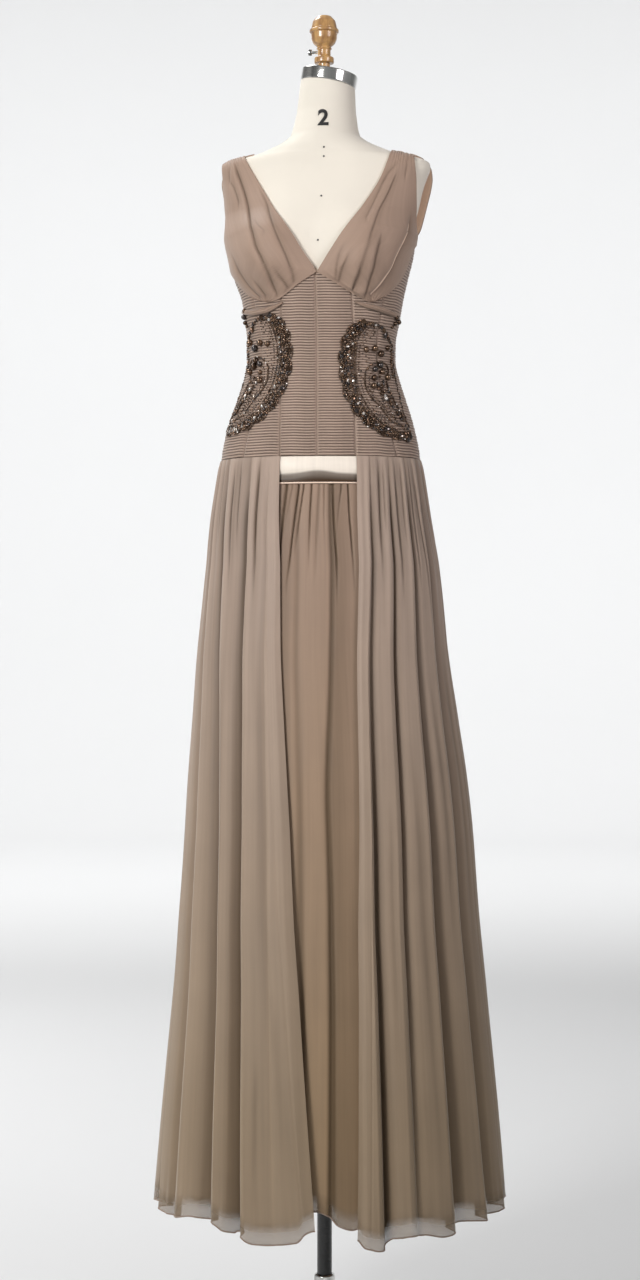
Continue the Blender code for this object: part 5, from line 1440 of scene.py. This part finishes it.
# ---- skirt
@dataclass
class Skirt:
    """The gathered overskirt, the satin band, the underskirt and the lining.

    Turns in the tables are in degrees, and heights and sizes in metres. A valley is a line where
    two flutes meet, told by its turns at three heights and by how deep it is at both ends.
    """

    finishes: Finishes
    seam: float = 1.397
    hem: float = 0.2575
    wall: float = 0.0009
    gap: float = 0.0011
    rows_down: int = 122
    hem_roll: float = 0.0011
    band_edges: tuple[float, float] = (1.3568, 1.3968)
    valleys: dict[str, Array] = field(default_factory=lambda: table(
        "seam middle hem seam_depth hem_depth",
        (24.6, 17.2, 14.2, 0.5, 0.3), (32.5, 23.4, 24, 1, 1), (45, 35.9, 34.6, 1, 0.25),
        (58.5, 50.2, 50.4, 1, 1), (72, 67.2, 69, 1, 0.85), (90, 84, 85, 1, 0.8), (103, 97, 98, 1, 1),
        (120, 115, 114.5, 0.8, 0.65), (132, 129, 127, 1, 1), (148, 145, 147, 0.8, 0.5),
        (160, 158, 158, 1, 1), (178, 177, 178.5, 1, 0.8), (190, 190, 189, 0.8, 1),
        (207, 208, 208.5, 1, 0.6), (219, 221, 219, 1, 1), (236, 238, 240, 1, 0.85),
        (249, 252, 252, 0.8, 0.55), (266, 270, 271, 1, 1), (277, 284, 288, 1, 0.8),
        (288, 298, 304, 0.6, 0.55), (301.5, 314.2, 322.5, 1, 1), (322.6, 327.4, 334.8, 1, 1),
        (335, 340.5, 348, 0.2, 0.08), (341.3, 349.5, 361, 0.8, 0.3)))
    valley_heights: tuple[float, ...] = (0.2575, 0.85, 1.397)
    hem_line: dict[str, Array] = field(default_factory=lambda: table(
        "turn height",
        (-80, 0.262), (-62, 0.257), (-52, 0.261), (-44, 0.27), (-36, 0.269), (-30, 0.26), (-25, 0.256),
        (-19, 0.247), (-9, 0.251), (-4.8, 0.255), (-3, 0.265), (1, 0.272), (13.5, 0.262), (16.6, 0.246),
        (22.9, 0.241), (26, 0.256), (32, 0.259), (38, 0.257), (44, 0.25), (50, 0.254), (54, 0.264),
        (59, 0.261), (66, 0.256), (80, 0.26)))
    overlay_pieces: dict[str, tuple[int, int, int, float]] = field(default_factory=lambda: {
        "front_right": (0, 5, 34, 0.74), "back": (5, 17, 16, 0.6),
        "front_left": (17, 23, 34, 0.25)})
    lines: dict[str, Array] = field(default_factory=lambda: table(
        "top_turn low_turn top_height length depth spread",
        (-70, -66, 1.397, 0.2, 0.0022, 0.0028), (-64, -59, 1.397, 0.15, 0.0018, 0.0024),
        (-51.5, -46, 1.397, 0.22, 0.0026, 0.0028), (-45.1, -41.5, 1.397, 0.15, 0.0022, 0.0024),
        (-31.4, -29.5, 1.397, 0.24, 0.0024, 0.0026), (-24.5, -22.5, 1.397, 0.17, 0.0022, 0.0024),
        (30.5, 28, 1.397, 0.13, 0.0018, 0.0022), (37.8, 34, 1.397, 0.2, 0.0024, 0.0026),
        (41.2, 38.5, 1.397, 0.14, 0.0018, 0.0022), (49.5, 46, 1.397, 0.24, 0.0026, 0.0028),
        (53.9, 51, 1.397, 0.16, 0.002, 0.0024), (61.8, 59, 1.397, 0.22, 0.0024, 0.0026),
        (66.2, 66, 1.397, 0.28, 0.0022, 0.0028), (78, 76, 1.397, 0.2, 0.0022, 0.0028),
        (-26, -15, 1.18, 0.8, 0.0008, 0.008), (-47, -37.5, 1.15, 0.8, 0.001, 0.006),
        (-14.5, -6, 0.62, 0.34, 0.0006, 0.008), (-20, -19, 0.52, 0.26, 0.0007, 0.007),
        (60, 59, 1.1, 0.55, 0.0012, 0.007), (30, 29, 0.9, 0.5, 0.0008, 0.006),
        (43, 43.5, 1, 0.7, 0.0011, 0.007), (75, 76, 1.15, 0.6, 0.0012, 0.007)))
    fold_share: float = 0.45
    edge_band: tuple[float, float] = (0.012, 0.024)
    edge_stitch: float = 0.0006
    valley_widths: tuple[float, float] = (0.0036, 0.0018)
    valley_cut: float = 0.0022
    hem_flutter: float = 0.002
    seam_gap: float = 0.0005
    under_band: float = 0.0412
    under_hem: float = 0.027
    lining_hem: float = 0.326
    lining_wave: float = 0.0012
    band_bulge: float = 0.002
    band_tuck: float = 0.0016
    band_ripple: float = 0.0005
    piping: float = 0.0012

    def degrees(self, turn: Array) -> Array:
        """Return turns in degrees, from -180 to 180."""
        return (np.degrees(turn) + 180.0) % 360.0 - 180.0

    def hem_height(self, turn: Array) -> Array:
        """Return the overskirt's hem height: a table at the front, soft waves elsewhere."""
        degrees = self.degrees(turn)
        front = on_curve(self.hem_line["turn"], self.hem_line["height"], degrees)
        back = 0.258 + 0.0065 * wander(turn, 3, 6, 5)
        return blend(front, back, smooth(66.0, 86.0, np.abs(degrees)))

    def depth(self, turn: Array, height: Array) -> Array:
        """Return how deep the flutes are: the table's depth, and more beside and behind."""
        away = smooth(16.0, 34.0, np.abs(self.degrees(turn) - 3.0))
        return SKIRT.size("flute", height) * (1 + 0.6 * away * (1 - smooth(1.0, 1.24, height)))

    def grid(self, first: int, last: int, points: int, rows: Array
             ) -> tuple[Array, Array, Array]:
        """Return turns, heights and the place counted in valleys."""
        count = (last - first) * points + 1
        place = np.linspace(first, last, count)
        index = np.clip(place.astype(int), first, last - 1)
        part = place - index
        turns = np.stack([self.valleys[key] for key in ("hem", "middle", "seam")])
        height = self.seam + (self.hem - self.seam) * rows
        lines = np.stack([on_curve(self.valley_heights, line, height) for line in turns.T], 1)
        turn = np.radians(blend(lines[:, index], lines[:, index + 1], part))
        hem = self.hem_height(turn[-1])[None, :]
        level = self.seam + (hem - self.seam) * rows[:, None]
        return turn, level, np.broadcast_to(place, turn.shape)

    def creases(self, turn: Array, level: Array, radius: Array) -> Array:
        """Return troughs: those of the table in front, and scattered ones at the back.

        Each is a bell across a slanting line, and dies out along its length.
        """
        random = np.random.default_rng(SEED)
        count = 60
        gathered = np.arange(count) % 5 < 3
        at = random.uniform(82, 278, count)
        back = np.stack([at, at + random.uniform(-4, 4, count),
                         np.where(gathered, self.seam, random.uniform(0.75, 1.25, count)),
                         np.where(gathered, random.uniform(0.1, 0.26, count),
                                  random.uniform(0.35, 0.7, count)),
                         random.uniform(0.0014, 0.0025, count),
                         np.where(gathered, 0.0026, 0.007)])
        front = np.stack(list(self.lines.values()))
        total = np.zeros_like(turn)
        for top_turn, low_turn, top, length, depth, spread in np.concatenate([front, back], 1).T:
            down = (top - level) / length
            life = window((-0.05 if top == self.seam else 0.0, 0.25), (0.45, 1.0), down)
            line = np.radians(top_turn + (low_turn - top_turn) * np.clip(down, 0.0, 1.0))
            away = (turn - line + np.pi) % (2 * np.pi) - np.pi
            total += depth * life * np.exp(-(away * radius / (0.8 * spread)) ** 2)
        return total

    def overlay(self, name: str, node: str, first: int, last: int, points: int,
                crest: float) -> None:
        """Build a piece of the overskirt: flutes with sharp valleys that start as gathers.

        Args:
            name: The piece's name.
            node: The solid that it stands for.
            first: The number of its first valley.
            last: The number of its last valley.
            points: Points across a flute.
            crest: Where a flute stands out most, 0 at its left valley and 1 at its right one.
        """
        rows = on_curve([0, 0.35, 0.75, 1], [0, 0.2, 0.78, 1], even(self.rows_down))
        turn, level, place = self.grid(first, last, points, rows)
        whole = np.clip(place.astype(int), first, last - 1)
        part = place - whole
        seam_share = np.clip((level - self.hem) / (self.seam - self.hem), 0.0, 1.0)
        hem_depth, seam_depth = self.valleys["hem_depth"], self.valleys["seam_depth"]
        deep = blend(blend(hem_depth[whole], seam_depth[whole], seam_share),
                     blend(hem_depth[whole + 1], seam_depth[whole + 1], seam_share), part)
        flute, gather = self.depth(turn, level), SKIRT.size("gather", level)
        rise = np.where(part < crest, part / crest, (1 - part) / (1 - crest))
        low = on_curve([0, 0.16, 0.42, 1], [1, 0.72, 0.26, 0], rise)
        gathered = on_curve([0, 0.22, 0.5, 0.78, 1], [1, 0, 1, 0, 1], part)
        radius = np.linalg.norm(SKIRT.point(turn, level)[..., :2], axis=-1)
        from_edge = np.full_like(turn, 1.0)
        if first == 0:
            from_edge = np.minimum(from_edge, (turn - turn[:, :1]) * radius)
        if last == len(hem_depth) - 1:
            from_edge = np.minimum(from_edge, (turn[:, -1:] - turn) * radius)
        band = smooth(*self.edge_band, from_edge)
        lines = self.creases(turn, level, radius) * band
        to_valley = np.minimum(part * (1 - part) * 4, 1.0) * 0.25 * np.gradient(turn, axis=1)
        to_valley = to_valley * radius * points
        beside = np.where((part > 0.5) == (crest < 0.5), *self.valley_widths)
        sharp = deep * band * smooth(0.02, 0.1, 1 - seam_share)
        sharp = sharp * np.exp(-(to_valley / beside) ** 2)
        troughs = lines + self.valley_cut * sharp
        relief = flute * low * deep + gather * gathered * (0.25 + 0.35 * band) + troughs
        relief = relief + 0.0012 * (1 - seam_share)
        above = level - self.hem_height(turn)
        flutter = wander(turn * 9, 5, 4, 1) + 0.6 * wander(turn * 23, 6, 3, 1)
        relief = relief + self.hem_flutter * (1 - smooth(0.0, 0.1, above)) * flutter
        relief = relief + self.edge_stitch * bump(from_edge, 0.0185, 0.0012)
        relief = np.minimum(relief, flute + gather + self.edge_stitch)
        overlap = 0.08 * np.sin(2 * np.pi * part) * np.sin(1.9 * whole + 0.7)
        turn = turn + overlap * band * (1 - 0.6 * seam_share) * 0.18
        outer = SKIRT.out(turn, level, -relief)
        inner = SKIRT.out(turn, level, -relief - self.wall)
        # painted shade: the fold mark darkens the flute valleys and their sharp troughs, the side of
        # each flute turned from the light, the creases and the gathers
        fold = 0.34 * low**1.7 * deep * np.clip(flute / 0.005, 0.3, 1.0) * band + 0.58 * sharp
        painted_lee_shade = smooth(0.15, 1.0, part) if crest < 0.5 else 1 - smooth(0.06, 0.4, part)
        fold = fold + 0.34 * painted_lee_shade * np.minimum(deep, 0.8) * band
        fold = np.clip(fold + lines * 320 + gathered**3 * gather * 90 * band, 0.0, 1.0)
        marks = {"fold": fold[::-1], "sheer": (1 - smooth(0.012, 0.036, above))[::-1]}
        thing = hang(name, Wall(outer[::-1], inner[::-1], marks=marks), node, self.finishes.skirt)
        hem = self.roll(f"{name}_hem", outer[-1], inner[-1])

    def roll(self, name: str, outer: Array, inner: Array, closed: bool = False) -> Object:
        """Build the narrow rolled hem along a bottom edge, a tube between its two sides."""
        mesh = tube(name, (outer + inner) / 2, direction(outer - inner), self.hem_roll, 6, closed)
        lay_uv(mesh, np.zeros((len(mesh.loops), 2)))
        mark = mesh.attributes.new("fold", "FLOAT", "POINT")
        mark.data.foreach_set("value", np.full(len(mesh.vertices), 0.45, np.float32))
        return show(name, mesh, [self.finishes.midriff])

    def inset(self, turn: Array, height: Array, layer: int) -> Array:
        """Return how far a layer lies inside the outline: 1 is the underskirt, 2 the lining."""
        depth = self.depth(turn, height) + SKIRT.size("gather", height)
        clear = 0.0016 * (1 - smooth(1.36, 1.39, height)) + 0.0004
        inset = depth + self.gap + clear
        if layer == 2:
            inset = inset + self.fold_share * depth + self.gap + clear
        return inset

    def underskirt(self) -> None:
        """Build the underskirt: gathers below the band, then a few long folds."""
        rows = 96
        share = on_curve([0, 0.3, 0.75, 1], [0, 0.16, 0.78, 1], even(rows))[:, None]
        degrees = np.concatenate([np.linspace(-180, -32, 50)[:-1], np.linspace(-32, 37, 190),
                                  np.linspace(37, 180, 49)[1:-1]])[None, :]
        turn = np.radians(degrees)
        in_front = window((-31, -25), (30, 36), degrees)
        top = self.seam - self.seam_gap - self.under_band * in_front
        hem = self.hem_height(turn) + self.under_hem + 0.004 * wander(turn, 12, 5, 4)
        dip = on_curve([-30, -8, 0.7, 5.3, 8.4, 13.1, 40], [0.279, 0.29, 0.297, 0.29, 0.277,
                                                            0.271, 0.281], degrees)
        near = window((-16, -6), (13, 22), degrees)
        hem = blend(hem, dip, near)
        level = top + (hem - top) * share
        depth = self.depth(turn, level)
        folds = np.zeros_like(level)
        fade = smooth(0.4, 1.15, level)
        gathers = table(
            "turn spread depth end lean",
            (-14.5, 0.7, 0.003, 1.24, -30), (-11.2, 0.4, 0.0014, 1.31, -60),
            (-7.6, 0.45, 0.0034, 1.22, -40), (-4.9, 0.4, 0.003, 1.28, -45),
            (-0.6, 0.5, 0.003, 1.26, -15), (3.6, 0.8, 0.0016, 1.24, -20), (6.2, 0.45, 0.0018, 1.3, 0),
            (10.9, 0.5, 0.0034, 1.21, 5), (15.6, 0.4, 0.0024, 1.31, -50), (19.4, 0.5, 0.003, 1.23, 5))
        for at, spread, deep, end, lean in zip(*gathers.values()):
            life = smooth(end - 0.05, end + 0.06, level)
            line = at + lean * np.clip(1.35 - level, 0.0, 0.14)
            folds = folds + deep * life * bump(degrees, line, spread)
        main_line = on_curve([0.27, 0.7, 0.88, 1.12, 1.33], [6.0, 6.2, 4.8, 8.8, 9.5], level)
        folds = folds + 0.0046 * bump(degrees - main_line, 0.0, 1.1) * (1 - 0.35 * fade)
        second = on_curve([0.27, 0.88, 1.33], [-4.0, -6.5, -8.3], level)
        folds = folds + 0.0026 * bump(degrees - second, 0.0, 1.5) * (1 - 0.5 * fade)
        away = 1 - in_front
        folds = folds + away * self.fold_share * depth * (1 - np.cos(14 * turn)) / 2
        outer = SKIRT.out(turn, level, -self.inset(turn, level, 1) - folds)
        inner = SKIRT.out(turn, level, -self.inset(turn, level, 1) - folds - self.wall)
        # painted shade beside the main fold, and a painted shadow of the left overskirt at the left of
        # the opening; the fold mark also darkens the gathers
        painted_lee_shade = window((0.0, 1.5), (1.5, 14.0), degrees - main_line)
        painted_lee_shade = 0.46 * painted_lee_shade + 0.34 * (1 - smooth(-13.0, -8.5, degrees))
        mark = np.clip(folds / 0.0032 + painted_lee_shade * (1 - away), 0.0, 1.0)
        sheer = 1 - smooth(0.01, 0.032, level - hem)
        marks = {"fold": mark[::-1], "sheer": sheer[::-1]}
        thing = hang("skirt_under", Wall(outer[::-1], inner[::-1], True, marks), "underskirt",
                     self.finishes.under)
        roll = self.roll("skirt_under_hem", outer[-1], inner[-1], True)

    def lining(self) -> None:
        """Build the plain lining: a smooth cone with a few slow waves."""
        columns = 120
        share = even(30)[:, None]
        turn = (2 * np.pi * np.arange(columns) / columns - np.pi)[None, :]
        level = self.seam - self.seam_gap + (self.lining_hem - self.seam) * share + 0 * turn
        slow = self.lining_wave * (1 + wander(turn, 8, 4, 3)) * share
        outer = SKIRT.out(turn, level, -self.inset(turn, level, 2) - slow)
        inner = SKIRT.out(turn, level, -self.inset(turn, level, 2) - slow - self.wall)
        # painted shade: a little darker where the slow waves sink in
        marks = {"fold": np.broadcast_to(0.15 * slow / self.lining_wave, level.shape)[::-1]}
        thing = hang("skirt_lining", Wall(outer[::-1], inner[::-1], True, marks), "lining",
                     self.finishes.lining)

    def band(self) -> None:
        """Build the satin band: a rounded roll, fuller above and tucked in below."""
        columns, rows = 60, 28
        turn = np.radians(np.linspace(-23.5, 29.5, columns))[None, :]
        share = even(rows)[:, None]
        level = blend(*self.band_edges, share)
        side = np.linspace(-1.0, 1.0, columns)[None, :]
        bulge = self.band_bulge * np.sin(np.pi * share) ** 0.7
        line = 0.21 + 0.2 * (1 - np.abs(side) ** 2.6) + 0.03 * np.cos(7 * side)
        tuck = self.band_tuck * bump(share, line, 0.1)
        soft = self.band_ripple * np.sin(5 * side + 6 * share) * np.sin(np.pi * share)
        base = -self.inset(turn, level, 1)
        outer = SKIRT.out(turn, level, base + bulge - tuck + soft)
        inner = SKIRT.out(turn, level, base - self.wall)
        # painted dark reflection and shadow: a dark crescent under the roll's fuller top, and a painted
        # shadow at the upper left corner
        dark = (1 - smooth(line - 0.02, line + 0.07, share)) * (1 - 0.3 * share / line)
        corner = 0.35 * (1 - smooth(-0.98, -0.72, side)) * smooth(0.5, 1.0, share)
        mark = np.clip(dark + corner + 0.08, 0.0, 1.0)
        thing = hang("band_satin", Wall(outer, inner, marks={"fold": mark}), "satin_band",
                     self.finishes.satin)
        foot = np.full(columns, 1.3572)
        low = SKIRT.out(turn[0], foot, 0.0008 - self.inset(turn[0], foot, 1))
        normal = SKIRT.normal(turn[0], foot)
        # the piping has its own peach colour and the facing's glow, which is painted light
        cord = tube("band_piping", low, normal, self.piping, 8)
        lay_uv(cord, np.zeros((len(cord.loops), 2)))
        piping = show("band_piping", cord, [self.finishes.facing])

    def build(self) -> None:
        """Build every layer of the skirt."""
        self.lining()
        self.underskirt()
        self.band()
        for half, places in self.overlay_pieces.items():
            self.overlay(f"overskirt_{half}", f"skirt_{half}", *places)


# ---- studio
@dataclass
class Studio:
    """A pale round cove, soft lights and the camera."""

    finishes: Finishes
    cove_radius: float = 12.0
    cove_height: float = 6.5
    camera_turn: float = math.radians(6.0)
    camera_distance: float = 3.5
    camera_height: float = 1.12
    camera_side: float = 0.007
    lens: float = 63.5

    def cove(self) -> None:
        """Build the floor, which curves up into a wall all round."""
        bend = np.linspace(0.0, np.pi / 2, 24)
        radius = 3.0
        profile = np.concatenate([
            [[0.0, 0.0], [0.5, 0.0], [2.0, 0.0], [5.0, 0.0]],
            np.stack([self.cove_radius - radius + radius * np.sin(bend),
                      radius - radius * np.cos(bend)], axis=-1),
            [[self.cove_radius, self.cove_height]]])
        steps = 96
        points = np.concatenate([spun(profile[1:], steps).reshape(-1, 3), [[0.0, 0.0, 0.0]]])
        face, _ = quads(len(profile) - 1, steps, True)
        ring = np.append(np.arange(steps), 0)
        fans = [(len(points) - 1, a, b) for a, b in zip(ring[:-1], ring[1:])]
        mesh = new_mesh("studio_cove", points, list(face[:, ::-1]) + fans)
        mesh.materials.append(self.finishes.paper)
        put("studio_cove", mesh)

    def lamp(self, name: str, place: Sequence[float], aim: Sequence[float], size: float,
             power: float, spread: float, colour: Sequence[float] = (1.0, 1.0, 1.0)) -> None:
        """Add a square area light that looks at a point, with a grid that narrows its beam."""
        light = bpy.data.lights.new(name, "AREA")
        light.size = size
        light.energy = power
        light.color = colour
        light.spread = math.radians(spread)
        thing = put(name, light)
        thing.location = place
        thing.rotation_euler = (Vector(aim) - Vector(place)).to_track_quat("-Z", "Y").to_euler()

    def camera(self) -> None:
        """Place the level camera at the front, a little to the right."""
        data = bpy.data.cameras.new("camera")
        data.lens = self.lens
        data.sensor_width = 36.0
        thing = put("camera", data)
        sine, cosine = math.sin(self.camera_turn), math.cos(self.camera_turn)
        place = Vector((sine, -cosine, 0.0)) * self.camera_distance
        place -= Vector((cosine, sine, 0.0)) * self.camera_side
        place.z = self.camera_height
        thing.location = place
        look = Vector((-sine, cosine, 0.0))
        thing.rotation_euler = look.to_track_quat("-Z", "Y").to_euler()
        bpy.context.scene.camera = thing

    def build(self) -> None:
        """Build the studio."""
        scene = bpy.context.scene
        scene.view_settings.view_transform = "Standard"
        world = bpy.data.worlds.new("studio_light")
        world.use_nodes = True
        background = world.node_tree.nodes["Background"]
        background.inputs["Color"].default_value = (1.0, 0.985, 0.97, 1.0)
        background.inputs["Strength"].default_value = 0.26
        scene.world = world
        self.cove()
        self.lamp("key_light", (-2.1, -3.8, 2.5), (0.0, 0.0, 1.5), 1.3, 15.7, 56.0)
        self.lamp("fill_light", (2.4, -2.0, 2.4), (0.0, 0.0, 1.72), 1.4, 3.0, 40.0,
                  (1.0, 0.94, 0.97))
        self.lamp("floor_light", (-2.7, 1.6, 5.2), (-2.7, 1.7, 0.0), 3.0, 182.0, 150.0)
        self.lamp("wall_light_left", (-2.8, 4.6, 5.6), (-2.6, 12.0, 1.75), 2.4, 196.0, 142.0)
        self.lamp("wall_light_right", (2.8, 4.6, 5.6), (2.4, 12.0, 1.75), 2.4, 170.0, 142.0)
        self.camera()


def main() -> None:
    """Build the classes in order."""
    logging.basicConfig(level=logging.INFO, format="%(message)s")
    finishes = Finishes()
    for part in (DressForm(finishes), Stand(finishes), Midriff(finishes), Bodice(finishes),
                 BeadWork(finishes), Skirt(finishes), Studio(finishes)):
        LOG.info("building %s", type(part).__name__)
        part.build()


if __name__ == "__main__":
    main()
